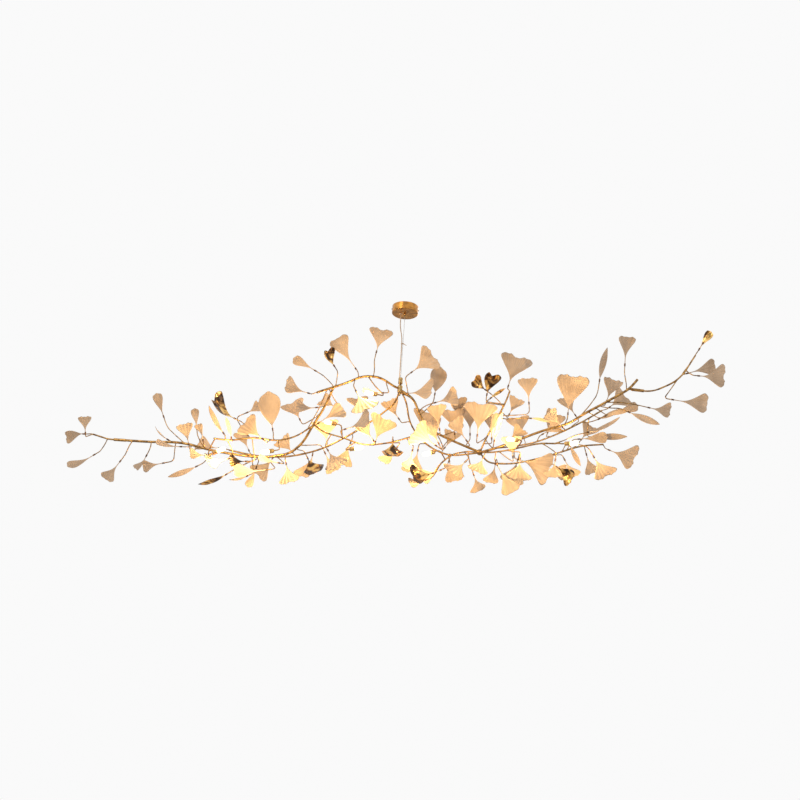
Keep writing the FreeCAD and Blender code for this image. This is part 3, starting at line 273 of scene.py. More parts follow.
class BoughSettings(bpy.types.PropertyGroup):
    """Sizes and colours of the boughs and their ferrules."""
    skin_size: length_setting("Skin size", "Width of one face of the cast skin", 1.15)
    grain_depth: length_setting("Grain depth", "Depth of the bark's grain", 0.35)
    grain_size: length_setting("Grain size", "Width of the bark's grain", 4.5)
    knot_depth: length_setting("Knot depth", "Height of the swellings along a bough", 0.9)
    knot_size: length_setting("Knot size", "Length of one swelling", 26.0)
    brass: colour_setting("Brass", "Worn brass on the ridges", (0.50, 0.28, 0.09))
    patina: colour_setting("Patina", "Brown patina in the grooves", (0.13, 0.07, 0.03))
    ferrule: colour_setting("Ferrule", "Dark brass of the ferrules", (0.085, 0.042, 0.018))


class LampSettings(bpy.types.PropertyGroup):
    """Light and finish of the lamps."""
    glow: colour_setting("Glow", "Colour of the lit glass", (1.0, 0.67, 0.26))
    strength: number_setting("Strength", "Brightness of the lit glass", 7.0, min=0.0)
    power: number_setting("Power", "Light that one bulb sheds, in watts", 2.2, min=0.0)


class CeilingSettings(bpy.types.PropertyGroup):
    """Sizes and colours of the ceiling parts."""
    dent_depth: length_setting("Dent depth", "Depth of the hammered dents in the canopy", 0.35)
    dent_size: length_setting("Dent size", "Width of one dent", 17.0)
    brushed_gold: colour_setting("Brushed gold", "Lacquered gold of the canopy", (0.66, 0.29, 0.052))
    sheath: colour_setting("Sheath", "Clear sheath of the cord", (0.50, 0.37, 0.26))


class StageSettings(bpy.types.PropertyGroup):
    """Camera, backdrop and lamps of the studio."""
    distance: length_setting("Distance", "From the camera to the tangle", 4350.0)
    frame_width: length_setting("Frame width", "Width of the picture at the tangle", 3032.0)
    below: angle_setting("Below", "How far the camera looks up", 22)
    roll: angle_setting("Roll", "How far the camera is tilted about its view", 3.77)
    floor_level: length_setting("Floor depth", "Depth of the floor below the ceiling", 2600.0)
    backdrop: number_setting("Backdrop", "Brightness of the backdrop, 1 is white", 0.955, min=0.0, max=1.0)
    floor_glow: number_setting("Floor glow", "How far the floor is lifted towards white", 0.42,
                               min=0.0, max=1.0)
    ambient: number_setting("Ambient", "Light that comes from all round", 0.44)


# ---- node tree helpers
def add_node(tree, kind, settings=None, feeds=None):
    """Adds a node, sets its properties and feeds its inputs with sockets or constants."""
    node = tree.nodes.new(kind)
    for key, value in (settings or {}).items():
        setattr(node, key, value)
    for key, value in (feeds or {}).items():
        if isinstance(value, bpy.types.NodeSocket):
            tree.links.new(value, node.inputs[key])
        else:
            node.inputs[key].default_value = value
    return node


def output_of(tree, kind, feeds=None, settings=None, output=0):
    """An output socket of a new node."""
    return add_node(tree, kind, settings, feeds).outputs[output]


def new_material(name, settings):
    """A material with one Principled shader whose constant sockets are set, and its own point."""
    material = bpy.data.materials.new(name)
    material.use_nodes = True
    tree = material.node_tree
    shader = tree.nodes["Principled BSDF"]
    for key, value in settings.items():
        shader.inputs[key].default_value = value
    return material, tree, shader, output_of(tree, "ShaderNodeTexCoord", output="Object")


def feed(tree, shader, sockets):
    """Links sockets to a shader's inputs."""
    for key, socket in sockets.items():
        tree.links.new(socket, shader.inputs[key])


def scaled(tone, factor):
    return tuple(factor * channel for channel in tone)


def noise(tree, point, size, detail=2.0, roughness=0.5, distortion=0.0):
    """Noise whose lumps are about one size wide, from 0 to 1."""
    return output_of(tree, "ShaderNodeTexNoise", {
        "Vector": point, "Scale": 1.0 / size, "Detail": detail, "Roughness": roughness,
        "Distortion": distortion}, output="Fac")


def ramp(tree, factor, stops):
    """A colour ramp through (place, colour) stops."""
    node = add_node(tree, "ShaderNodeValToRGB", None, {"Fac": factor})
    elements = node.color_ramp.elements
    while len(elements) < len(stops):
        elements.new(0.5)
    for element, (place, value) in zip(elements, stops):
        element.position = place
        element.color = (*value, 1.0)
    return node.outputs["Color"]


def spread(tree, factor, low, high):
    """Maps 0..1 to low..high."""
    return output_of(tree, "ShaderNodeMapRange", {"Value": factor, "To Min": low, "To Max": high},
                     output="Result")


def math_node(tree, operation, first, second=0.0):
    return output_of(tree, "ShaderNodeMath", {0: first, 1: second}, {"operation": operation})


def bump(tree, shader, height, depth, strength=1.0):
    """Raises the surface by a height from 0 to 1 times a depth."""
    feed(tree, shader, {"Normal": output_of(tree, "ShaderNodeBump", {
        "Height": height, "Distance": depth, "Strength": strength}, output="Normal")})


# ---- materials
def porcelain_material():
    """Matt glaze over thin porcelain, with soft streaks that run from the stalk to the rim."""
    look = bpy.context.scene.leaf_settings
    material, tree, shader, point = new_material("porcelain_glaze", {
        "Coat Weight": 0.12, "Coat Roughness": 0.3, "IOR": 1.45})
    leaf_map = output_of(tree, "ShaderNodeUVMap", None, {"uv_map": "leaf_map"})
    ray = output_of(tree, "ShaderNodeSeparateXYZ", {0: leaf_map}, output="X")
    wander = spread(tree, noise(tree, point, 30 * MM), -2.5, 2.5)
    phase = math_node(tree, "ADD", math_node(tree, "MULTIPLY", ray, look.streaks), wander)
    streaks = spread(tree, math_node(tree, "SINE", phase), 0.0, 0.12)
    pooled = noise(tree, point, 55 * MM, detail=3.0, roughness=0.5)
    glaze = ramp(tree, math_node(tree, "ADD", pooled, streaks), [
        (0.34, look.porcelain_shade), (0.66, look.porcelain)])
    feed(tree, shader, {"Base Color": glaze, "Roughness": spread(tree, pooled, 0.38, 0.55)})
    lumps = spread(tree, noise(tree, point, 28 * MM, detail=0.0), 0.0, 0.3)
    bump(tree, shader, math_node(tree, "ADD", streaks, lumps), 0.5 * MM, 0.3)
    return material


def gilded_material():
    """Mirror gilding: bright gold that is darkened in broad patches, a painted dark reflection."""
    look = bpy.context.scene.leaf_settings
    material, tree, shader, point = new_material("gilded_porcelain_glaze", {
        "Metallic": 1.0, "Coat Weight": 0.3, "Coat Roughness": 0.05})
    # Painted dark reflection: broad noise patches darken the gold's base colour to stand for a dark surround
    # mirrored in it.
    patches = noise(tree, point, 40 * MM, detail=2.0, roughness=0.5, distortion=1.0)
    gilding = ramp(tree, patches, [
        (0.42, look.painted_dark_reflection), (0.50, (0.30, 0.14, 0.04)), (0.56, look.gold), (0.74, (0.92, 0.62, 0.24))])
    gloss = spread(tree, noise(tree, point, 14 * MM, detail=3.0), 0.08, 0.24)
    feed(tree, shader, {"Base Color": gilding, "Roughness": gloss})
    bump(tree, shader, noise(tree, point, 16 * MM, detail=2.0), 1.0 * MM, 0.6)
    return material


def brushed_gold_material():
    """Lacquered gold sheet, brushed round its axis."""
    gold = bpy.context.scene.ceiling_settings.brushed_gold
    material, tree, shader, point = new_material("brushed_gold_lacquer", {
        "Metallic": 1.0, "Coat Weight": 0.35, "Coat Roughness": 0.12})
    patches = noise(tree, point, 30 * MM, detail=2.0, distortion=0.8)
    tones = ramp(tree, patches, [(0.34, scaled(gold, 0.55)), (0.52, gold), (0.70, scaled(gold, 1.45))])
    stretched = output_of(tree, "ShaderNodeMapping", {"Vector": point, "Scale": (1.0, 1.0, 14.0)})
    lines = noise(tree, stretched, 2.2 * MM, detail=2.0)
    feed(tree, shader, {"Base Color": tones, "Roughness": spread(tree, lines, 0.20, 0.42)})
    bump(tree, shader, lines, 0.06 * MM, 0.6)
    return material


def metal_material(name, ridge, groove, patch, grain, depth, smoothest, roughest):
    """Worn metal: two tones in patches, with a fine grain that also breaks its gloss."""
    material, tree, shader, point = new_material(name, {"Metallic": 1.0})
    patches = noise(tree, point, patch * MM, detail=5.0, roughness=0.6)
    tones = ramp(tree, patches, [(0.36, groove), (0.60, ridge)])
    lumps = noise(tree, point, grain * MM, detail=3.0)
    feed(tree, shader, {"Base Color": tones, "Roughness": spread(tree, lumps, smoothest, roughest)})
    bump(tree, shader, lumps, depth * MM, 0.8)
    return material


def plastic_material(name, tone, speck, rough, settings):
    """Moulded plastic with a faint orange-peel surface."""
    material, tree, shader, point = new_material(name, settings)
    tones = ramp(tree, noise(tree, point, 6 * MM, detail=4.0), [(0.35, speck), (0.65, tone)])
    peel = noise(tree, point, 0.9 * MM, detail=1.0)
    feed(tree, shader, {"Base Color": tones, "Roughness": spread(tree, peel, rough, rough + 0.14)})
    bump(tree, shader, peel, 0.04 * MM, 0.5)
    return material


def glass_material():
    """Frosted glass of a lit capsule bulb, a little brighter in places."""
    look = bpy.context.scene.lamp_settings
    material, tree, shader, point = new_material("lit_frosted_glass", {
        "Base Color": (1.0, 0.93, 0.80, 1.0), "Emission Strength": look.strength})
    material.cycles.emission_sampling = "NONE"
    frost = noise(tree, point, 3 * MM, detail=3.0)
    glow = ramp(tree, frost, [(0.25, scaled(look.glow, 0.9)), (0.75, look.glow)])
    feed(tree, shader, {"Emission Color": glow, "Roughness": spread(tree, frost, 0.35, 0.5)})
    bump(tree, shader, frost, 0.05 * MM, 0.5)
    return material


def material_rows():
    """For each slot its maker and what that takes: for a metal its name, the tones of its ridges and
    grooves, the widths of a patch and of the grain and the grain's depth in mm, and its roughness."""
    boughs = bpy.context.scene.bough_settings
    sheath = bpy.context.scene.ceiling_settings.sheath
    return {
        "galvanised_steel": (metal_material, "galvanised_spangle", (0.62, 0.63, 0.64), (0.44, 0.45, 0.47),
                             4, 1.6, 0.04, 0.34, 0.52),
        "polished_fittings": (metal_material, "polished_brass_lacquer", (0.52, 0.34, 0.14),
                              (0.34, 0.21, 0.08), 12, 1.0, 0.03, 0.14, 0.26),
        "brushed_gold": (brushed_gold_material,),
        "steel_wire": (metal_material, "steel_wire_strand", (0.48, 0.43, 0.37), (0.30, 0.26, 0.21),
                       9, 0.8, 0.03, 0.30, 0.45),
        "cord_sheath": (plastic_material, "cord_sheath_vinyl", sheath, scaled(sheath, 0.82), 0.3,
                        {"Coat Weight": 0.2}),
        "terminal_plastic": (plastic_material, "terminal_plastic", (0.66, 0.62, 0.55), (0.56, 0.52, 0.46),
                             0.38, {}),
        "antique_brass": (metal_material, "antique_brass_patina", boughs.brass, boughs.patina,
                          14, 2.2, 0.25, 0.30, 0.52),
        "dark_brass": (metal_material, "dark_brass_crimp", scaled(boughs.ferrule, 2.6), boughs.ferrule,
                       5, 1.2, 0.1, 0.28, 0.45),
        "holder_brass": (metal_material, "holder_brass_satin", (0.72, 0.44, 0.16), (0.45, 0.25, 0.08),
                         10, 1.5, 0.06, 0.22, 0.38),
        "porcelain": (porcelain_material,),
        "gilded_porcelain": (gilded_material,),
        "lit_glass": (glass_material,),
    }


MATERIALS = {}


def finish_material(slot):
    """The material of a slot, made when it is first wanted."""
    if slot not in MATERIALS:
        maker, *values = material_rows()[slot]
        MATERIALS[slot] = maker(*values)
    return MATERIALS[slot]


# ---- mesh helpers
def link(name, mesh):
    piece = bpy.data.objects.new(name, mesh)
    bpy.context.scene.collection.objects.link(piece)
    return piece


def stand_in(piece, node):
    """Gives a finished piece its node's body and finish, and hides the node."""
    slot = slot_of_node(node)
    piece.data.materials.clear()
    piece.data.materials.append(finish_material(slot))
    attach(piece, body_of_node(node))
    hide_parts(node)


def drop(piece):
    """Removes a scratch piece and its mesh."""
    mesh = piece.data
    bpy.data.objects.remove(piece)
    bpy.data.meshes.remove(mesh)


def baked(piece, name):
    """Applies a piece's modifiers and gives back a plain mesh, with the scratch piece removed."""
    graph = bpy.context.evaluated_depsgraph_get()
    mesh = bpy.data.meshes.new_from_object(piece.evaluated_get(graph))
    drop(piece)
    mesh.name = name
    return mesh


def mesh_from(bm, name):
    """Writes a bmesh to a new mesh and frees it."""
    mesh = bpy.data.meshes.new(name)
    bm.to_mesh(mesh)
    bm.free()
    return mesh


def welded(node):
    """A node's loose triangles with their corners joined, as a bmesh."""
    bm = bmesh.new()
    bm.from_mesh(frame["nodes"][node].data)
    bmesh.ops.remove_doubles(bm, verts=bm.verts, dist=WELD_DISTANCE)
    return bm


def solids_of(node):
    """The separate solids of a node: each one's corners and the centroid of its skin."""
    bm = welded(node)
    seen = set()
    solids = []
    for seed in bm.faces:
        if seed.index in seen:
            continue
        seen.add(seed.index)
        stack = [seed]
        corners = {}
        moment = Vector((0, 0, 0))
        skin = 0.0
        while stack:
            face = stack.pop()
            area = face.calc_area()
            skin += area
            moment += area * face.calc_center_median()
            for corner in face.verts:
                corners[corner.index] = corner.co[:]
            for edge in face.edges:
                for other in edge.link_faces:
                    if other.index not in seen:
                        seen.add(other.index)
                        stack.append(other)
        solids.append((np.array(list(corners.values())), np.array(moment / skin)))
    bm.free()
    return solids


def rod_ends(points):
    """Centres of the two ends of a straight round solid."""
    centre = points.mean(axis=0)
    axis = np.linalg.svd(points - centre, full_matrices=False)[2][0]
    along = (points - centre) @ axis
    quarter = (along.max() - along.min()) / 4
    return (points[along < along.min() + quarter].mean(axis=0),
            points[along > along.max() - quarter].mean(axis=0))


def ringed_mesh(name, rings, capped):
    """A smooth mesh through closed rings of points."""
    bm = bmesh.new()
    levels = [[bm.verts.new(point) for point in ring] for ring in rings]
    for lower, upper in zip(levels, levels[1:]):
        for step in range(len(lower)):
            after = (step + 1) % len(lower)
            bm.faces.new((lower[step], lower[after], upper[after], upper[step]))
    if capped:
        bm.faces.new(levels[0])
        bm.faces.new(levels[-1])
    bmesh.ops.remove_doubles(bm, verts=bm.verts, dist=WELD_DISTANCE)
    bmesh.ops.recalc_face_normals(bm, faces=bm.faces)
    mesh = mesh_from(bm, name)
    mesh.shade_smooth()
    return mesh


def turned(points, segments, place, axis, knurl=0.0, teeth=0):
    """A lathe-turned mesh: (radius, height) pairs run round an axis that starts at a place."""
    turn = Vector((0, 0, 1)).rotation_difference(Vector(axis).normalized()).to_matrix()
    rings = []
    for radius, height in points:
        ring = []
        for step in range(segments):
            angle = math.tau * step / segments
            r = radius + (knurl * math.cos(teeth * angle) if radius > 0 else 0.0)
            ring.append(Vector(place) + turn @ Vector((r * math.cos(angle), r * math.sin(angle), height)))
        rings.append(ring)
    return ringed_mesh("turned", rings, capped=points[0] != points[-1])


def place_in_box(name, mesh, node):
    """Links a mesh in its node's place, held inside the box of the solids."""
    corners = np.empty(3 * len(mesh.vertices))
    mesh.vertices.foreach_get("co", corners)
    mesh.vertices.foreach_set("co", np.clip(corners.reshape(-1, 3), *np.array(CAD_BOX)).ravel())
    mesh.update()
    stand_in(link(name, mesh), node)


# ---- leaves
ACROSS_POINTS = 41
BLADE_ROWS = 27
STALK_ROWS = 4
STALK_BLEND = 0.35  # Share of a blade over which the round stalk flattens.
RIM_START = 0.97  # Share of a blade from which its wall closes to the rim.
RIPPLE_TO_RIM = 1.6  # How much the ripples keep to the rim.
RIPPLE_GAIN = 4.0  # Widens the swing of the noise, which seldom leaves the middle of its range.
ANY_SIDE = (0.3, 0.9, 0.2)  # Along no ferrule or lamp holder.
BARK_LEVEL = 0.42  # Noise at which a bough keeps its cast surface.


def blade_width(share, flare, bluntness, roundness):
    """Width of a blade at a share of its reach, before it is scaled to its widest place."""
    return share ** flare * (1 - share ** bluntness) ** roundness


def blade_point(place, share, shape, length):
    """Flat point of a blade: its place across it, from -1 to 1, at a share of its reach."""
    half_width, stalk_share, roll, bend, flare, bluntness, roundness, notch, lobes = shape
    widest = blade_width(OUTLINE_STATIONS, flare, bluntness, roundness).max()
    across = place * blade_width(share, flare, bluntness, roundness) / widest
    dip = notch * np.exp(-(across / NOTCH_WIDTH) ** 2)
    dip += LOBE_DEPTH * (1 - np.cos(lobes * math.pi * across)) / 2
    root = stalk_share * length - LEAF_THICKNESS
    x = STALK_NECK_RADIUS * place * (1 - share) + (half_width * length - STALK_NECK_RADIUS) * across
    return x, root + (length - root) * share * (1 - dip * share ** 2)


def blade_height(x, y, shape, length):
    """Height of the rolled and bent blade over its flat outline."""
    stalk_share, roll, bend = shape[1:4]
    root = stalk_share * length - LEAF_THICKNESS
    roll = roll * length
    bend = bend * length
    around = bend - roll + np.sqrt(roll ** 2 - x ** 2)
    return bend - np.sqrt(around ** 2 - (y - root) ** 2)


def leaf_size(shape, length):
    """Half width, height and depth of a leaf."""
    x, y = blade_point(1.0, OUTLINE_STATIONS, shape, length)
    return np.array([x.max(), y.max(), blade_height(x, y, shape, length).max()])


def mould_mesh(name, shape, length):
    """A leaf as it leaves its mould: the stalk's foot at the origin, +Y along it, +Z its face."""
    look = bpy.context.scene.leaf_settings
    half_width, stalk_share, roll, bend, flare, bluntness, roundness, notch, lobes = shape
    glazed = (*shape[:5], look.corner_ease * bluntness, roundness, look.notch_ease * notch, lobes)
    root = stalk_share * length - LEAF_THICKNESS
    t = np.linspace(-1, 1, ACROSS_POINTS)
    round_x = np.sin(t * math.pi / 2)
    round_z = np.cos(t * math.pi / 2)
    flat_z = np.sqrt(1 - t ** 8)
    step = 0.1 * MM
    rows = []
    for row in range(STALK_ROWS):
        share = row / STALK_ROWS
        radius = STALK_FOOT_RADIUS + (STALK_NECK_RADIUS - STALK_FOOT_RADIUS) * share
        front = np.stack([radius * round_x, np.full_like(t, share * root), radius * round_z], axis=1)
        rows.append((front, front * (1, 1, -1), t, 0.0))
    for row in range(BLADE_ROWS):
        share = 1 - (1 - row / (BLADE_ROWS - 1)) ** 2
        blend = min(1.0, share / STALK_BLEND)
        flatness = blend ** 2 * (3 - 2 * blend)
        x, y = blade_point((1 - flatness) * round_x + flatness * t, share, glazed, length)
        z = blade_height(x, y, shape, length)
        slope_x = (blade_height(x + step, y, shape, length) - z) / step
        slope_y = (blade_height(x, y + step, shape, length) - z) / step
        normal = np.stack([-slope_x, -slope_y, np.ones_like(x)], axis=1)
        normal /= np.linalg.norm(normal, axis=1)[:, None]
        wall = STALK_NECK_RADIUS * (1 - flatness) + LEAF_THICKNESS / 2 * flatness
        wall += (look.rim_thickness / 2 - LEAF_THICKNESS / 2) * share ** 2
        wall *= math.sqrt(1 - min(1.0, max(0.0, (share - RIM_START) / (1 - RIM_START))) ** 2)
        section = wall * ((1 - flatness) * round_z + flatness * flat_z)
        ray = x / (half_width * length * max(share, 0.3))
        fold = look.fold_height * share ** 2 * np.cos(lobes * math.pi * ray + half_width * length / MM)
        middle = np.stack([x, y, z + fold], axis=1)
        offset = normal * section[:, None]
        rows.append((middle + offset, middle - offset, ray, share))
    corners = []
    maps = []
    for front, back, rays, share in rows:
        corners.extend(tuple(corner) for corner in (*front, *back[-2:0:-1]))
        maps.extend((ray / 2 + 0.5, share) for ray in (*rays, *rays[-2:0:-1]))
    around = 2 * ACROSS_POINTS - 2
    faces = [tuple(base + place for place in (step, around + step, around + after, after))
             for base in range(0, (len(rows) - 1) * around, around)
             for step, after in zip(range(around), (*range(1, around), 0))]
    mesh = bpy.data.meshes.new(name)
    mesh.from_pydata(corners, [], [*faces, tuple(range(around))])
    leaf_map = mesh.uv_layers.new(name="leaf_map")
    for loop in mesh.loops:
        leaf_map.data[loop.index].uv = maps[loop.vertex_index]
    along = mesh.attributes.new("along", "FLOAT", "POINT")
    along.data.foreach_set("value", [share for ray, share in maps])
    bm = bmesh.new()
    bm.from_mesh(mesh)
    bmesh.ops.remove_doubles(bm, verts=bm.verts, dist=WELD_DISTANCE)
    bmesh.ops.recalc_face_normals(bm, faces=bm.faces)
    bm.to_mesh(mesh)
    bm.free()
    return mesh


LEAF_MOULDS = {"mould_%s_%03d" % (name, length): (shape, length * MM)
               for name, shape in LEAF_SHAPES.items() for length in LEAF_LENGTHS}
LEAF_SIZES = {name: leaf_size(*mould) for name, mould in LEAF_MOULDS.items()}


def leaf_places(node, ferrules):
    """Where each leaf of a node grows: its foot, its line, its face and its mould."""
    middles = np.array([(first + second) / 2 for first, second in ferrules])
    places = []
    for points, centroid in solids_of(node):
        gaps = [np.linalg.norm(points - middle, axis=1).min() for middle in middles]
        first, second = ferrules[int(np.argmin(gaps))]
        if np.linalg.norm(first - centroid) < np.linalg.norm(second - centroid):
            first, second = second, first
        line = (second - first) / np.linalg.norm(second - first)
        foot = first + line * ((points - first) @ line).min()
        face = centroid - foot
        face -= line * (face @ line)
        face /= np.linalg.norm(face)
        side = np.cross(line, face)
        outward = points - foot
        size = np.array([np.abs(outward @ side).max(), (outward @ line).max(), (outward @ face).max()])
        mould = min(LEAF_SIZES, key=lambda name: np.abs(LEAF_SIZES[name] - size).sum())
        places.append((foot, line, face, mould))
    return places


def new_tree(name, sockets):
    """A modifier's node tree with named inputs, and its input sockets."""
    tree = bpy.data.node_groups.new(name, "GeometryNodeTree")
    tree.is_modifier = True
    tree.interface.new_socket(name="Geometry", in_out="OUTPUT", socket_type="NodeSocketGeometry")
    finish = ("Finish", "Material", None, "Material of the pieces")
    for label, kind, default, description in [("Geometry", "Geometry", None, ""), *sockets, finish]:
        socket = tree.interface.new_socket(name=label, in_out="INPUT", socket_type="NodeSocket" + kind)
        socket.description = description
        if default is not None:
            socket.default_value = default
    return tree, add_node(tree, "NodeGroupInput").outputs


def moved(tree, geometry, direction, distance):
    """Geometry whose points are moved along a direction."""
    offset = output_of(tree, "ShaderNodeVectorMath", {0: direction, "Scale": distance},
                       {"operation": "SCALE"})
    return output_of(tree, "GeometryNodeSetPosition", {"Geometry": geometry, "Offset": offset})


def finish_tree(tree, given, geometry):
    """Smooths and paints the geometry and hands it to the tree's output."""
    smooth = output_of(tree, "GeometryNodeSetShadeSmooth", {"Geometry": geometry})
    add_node(tree, "NodeGroupOutput", None, {0: output_of(tree, "GeometryNodeSetMaterial", {
        "Geometry": smooth, "Material": given["Finish"]})})
    return tree


def run_tree(piece, tree, values):
    """Adds the node tree to a piece and sets its inputs by their sockets' identifiers."""
    modifier = piece.modifiers.new(tree.name, "NODES")
    modifier.node_group = tree
    for item in tree.interface.items_tree:
        if item.item_type == "SOCKET" and item.in_out == "INPUT" and item.name in values:
            modifier[item.identifier] = values[item.name]


def growing_tree():
    """Node tree that sets a mould on each point, turned along its line, and ripples its rim."""
    tree, given = new_tree("leaves_on_twigs", [
        ("Moulds", "Collection", None, "One cast piece for each kind"),
        ("Ripple Height", "Float", 0.0, "How far a rim wanders"),
        ("Ripple Size", "Float", 0.03, "Width of one ripple"),
        ("Seed", "Int", 1, "Picks the ripples")])

    def attribute(name, kind):
        return output_of(tree, "GeometryNodeInputNamedAttribute", {"Name": name}, {"data_type": kind})

    face = attribute("face", "FLOAT_VECTOR")
    moulds = output_of(tree, "GeometryNodeCollectionInfo", {
        "Collection": given["Moulds"], "Separate Children": True, "Reset Children": True})
    turn = output_of(tree, "FunctionNodeAxesToRotation", {
        "Primary Axis": attribute("line", "FLOAT_VECTOR"), "Secondary Axis": face},
        {"primary_axis": "Y", "secondary_axis": "Z"})
    grown = output_of(tree, "GeometryNodeInstanceOnPoints", {
        "Points": given["Geometry"], "Instance": moulds, "Pick Instance": True,
        "Instance Index": attribute("mould", "INT"), "Rotation": turn})
    real = output_of(tree, "GeometryNodeRealizeInstances", {"Geometry": grown})
    waves = output_of(tree, "ShaderNodeTexNoise", {
        "Vector": output_of(tree, "GeometryNodeInputPosition"), "W": given["Seed"],
        "Scale": math_node(tree, "DIVIDE", 1.0, given["Ripple Size"]), "Detail": 1.0},
        {"noise_dimensions": "4D"}, "Fac")
    swing = math_node(tree, "SUBTRACT", waves, 0.5)
    weight = math_node(tree, "POWER", attribute("along", "FLOAT"), RIPPLE_TO_RIM)
    height = math_node(tree, "MULTIPLY", math_node(tree, "MULTIPLY", swing, weight), given["Ripple Height"])
    return finish_tree(tree, given, moved(tree, real, face, math_node(tree, "MULTIPLY", height, RIPPLE_GAIN)))


def grown_mesh(name, places, moulds, tree, values):
    """Sets moulds, one mesh for each kind, on places with the node tree, as one plain mesh."""
    collection = bpy.data.collections.new(name + "_moulds")
    for label, mould in moulds.items():
        collection.objects.link(bpy.data.objects.new(label, mould))
    points = bpy.data.meshes.new(name + "_points")
    points.from_pydata([tuple(place[0]) for place in places], [], [])
    for label, column in (("line", 1), ("face", 2)):
        attribute = points.attributes.new(label, "FLOAT_VECTOR", "POINT")
        attribute.data.foreach_set("vector", np.array([place[column] for place in places]).ravel())
    kinds = points.attributes.new("mould", "INT", "POINT")
    kinds.data.foreach_set("value", [sorted(moulds).index(place[3]) for place in places])
    scratch = link(name + "_scratch", points)
    finish = finish_material(slot_of_node(name))
    run_tree(scratch, tree, {"Moulds": collection, "Finish": finish, **values})
    mesh = baked(scratch, name)
    for piece in list(collection.objects):
        drop(piece)
    bpy.data.collections.remove(collection)
    return mesh


def cast_leaves(nodes, ripple_height, ripple_size):
    """Every leaf of the given nodes, one piece for each node."""
    ferrules = [rod_ends(points) for node in FERRULE_NODES for points, centroid in solids_of(node)]
    tree = growing_tree()
    for seed, node in enumerate(nodes, 1):
        places = leaf_places(node, ferrules)
        names = sorted({place[3] for place in places})
        moulds = {name: mould_mesh(name, *LEAF_MOULDS[name]) for name in names}
        mesh = grown_mesh(node, places, moulds, tree, {
            "Ripple Height": ripple_height, "Ripple Size": ripple_size, "Seed": seed})
        place_in_box("cast_" + node, mesh, node)


class CHANDELIER_OT_porcelain_leaves(bpy.types.Operator):
    """Casts the porcelain leaves, one piece for each spray"""
    bl_idname = "chandelier.porcelain_leaves"
    bl_label = "Porcelain Leaves"

    def execute(self, context):
        look = context.scene.leaf_settings
        cast_leaves(PORCELAIN_NODES, look.ripple_height, look.ripple_size)
        return {"FINISHED"}


class CHANDELIER_OT_gilded_leaves(bpy.types.Operator):
    """Casts the gilded leaves, beaten further out of line than the porcelain ones"""
    bl_idname = "chandelier.gilded_leaves"
    bl_label = "Gilded Leaves"

    def execute(self, context):
        look = context.scene.leaf_settings
        cast_leaves(GILDED_NODES, look.gilded_ripple_height, look.gilded_ripple_size)
        return {"FINISHED"}


# ---- ferrules and lamp holders
def set_rods(prefix, node, targets, mould, segments):
    """Sets a turned mould on each round solid of a node, its foot away from the nearest target."""
    rows = []
    for points, centroid in solids_of(node):
        first, second = rod_ends(points)
        target = min(targets, key=lambda solid: np.linalg.norm(solid[0] - centroid, axis=1).min())[1]
        if np.linalg.norm(first - target) < np.linalg.norm(second - target):
            first, second = second, first
        length = np.linalg.norm(second - first)
        line = (second - first) / length
        outward = points - first
        radius = np.linalg.norm(outward - np.outer(outward @ line, line), axis=1).max()
        rows.append((first, line, np.cross(line, ANY_SIDE), mould))
    moulds = {mould: turned(profile(mould, radius, 0.0, length), segments, (0, 0, 0), (0, 1, 0))}
    stand_in(link(prefix + node, grown_mesh(node, rows, moulds, growing_tree(), {"Seed": 1})), node)


class CHANDELIER_OT_ferrules(bpy.types.Operator):
    """Crimps a ferrule on the end of every twig"""
    bl_idname = "chandelier.ferrules"
    bl_label = "Ferrules"

    def execute(self, context):
        leaves = [solid for node in PORCELAIN_NODES + GILDED_NODES for solid in solids_of(node)]
        for node in FERRULE_NODES:
            set_rods("crimped_", node, leaves, "ferrule", 16)
        return {"FINISHED"}


class CHANDELIER_OT_lamp_holders(bpy.types.Operator):
    """Turns the eight lamp holders"""
    bl_idname = "chandelier.lamp_holders"
    bl_label = "Lamp Holders"

    def execute(self, context):
        set_rods("turned_", "lamp_holders", [solids_of(bulb)[0] for bulb in BULBS], "lamp_holder", 48)
        return {"FINISHED"}


# ---- boughs
def bark_tree():
    """Node tree that eases the joints of a cast bough and gives it swellings and grain."""
    tree, given = new_tree("bark", [
        ("Knot Depth", "Float", 0.0, "Height of the swellings"),
        ("Knot Size", "Float", 0.02, "Length of one swelling"),
        ("Grain Depth", "Float", 0.0, "Depth of the grain"),
        ("Grain Size", "Float", 0.004, "Width of the grain")])
    where = output_of(tree, "GeometryNodeInputPosition")
    eased = output_of(tree, "GeometryNodeBlurAttribute", {"Value": where, "Iterations": 3},
                      {"data_type": "FLOAT_VECTOR"})
    soft = output_of(tree, "GeometryNodeSetPosition", {"Geometry": given["Geometry"], "Position": eased})
    swings = []
    for label, detail in (("Knot", 0.0), ("Grain", 2.0)):
        lumps = output_of(tree, "ShaderNodeTexNoise", {
            "Vector": where, "Scale": math_node(tree, "DIVIDE", 1.0, given[label + " Size"]),
            "Detail": detail}, output="Fac")
        swings.append(math_node(tree, "MULTIPLY", math_node(tree, "SUBTRACT", lumps, BARK_LEVEL),
                                given[label + " Depth"]))
    outwards = output_of(tree, "GeometryNodeInputNormal")
    return finish_tree(tree, given, moved(tree, soft, outwards, math_node(tree, "ADD", *swings)))


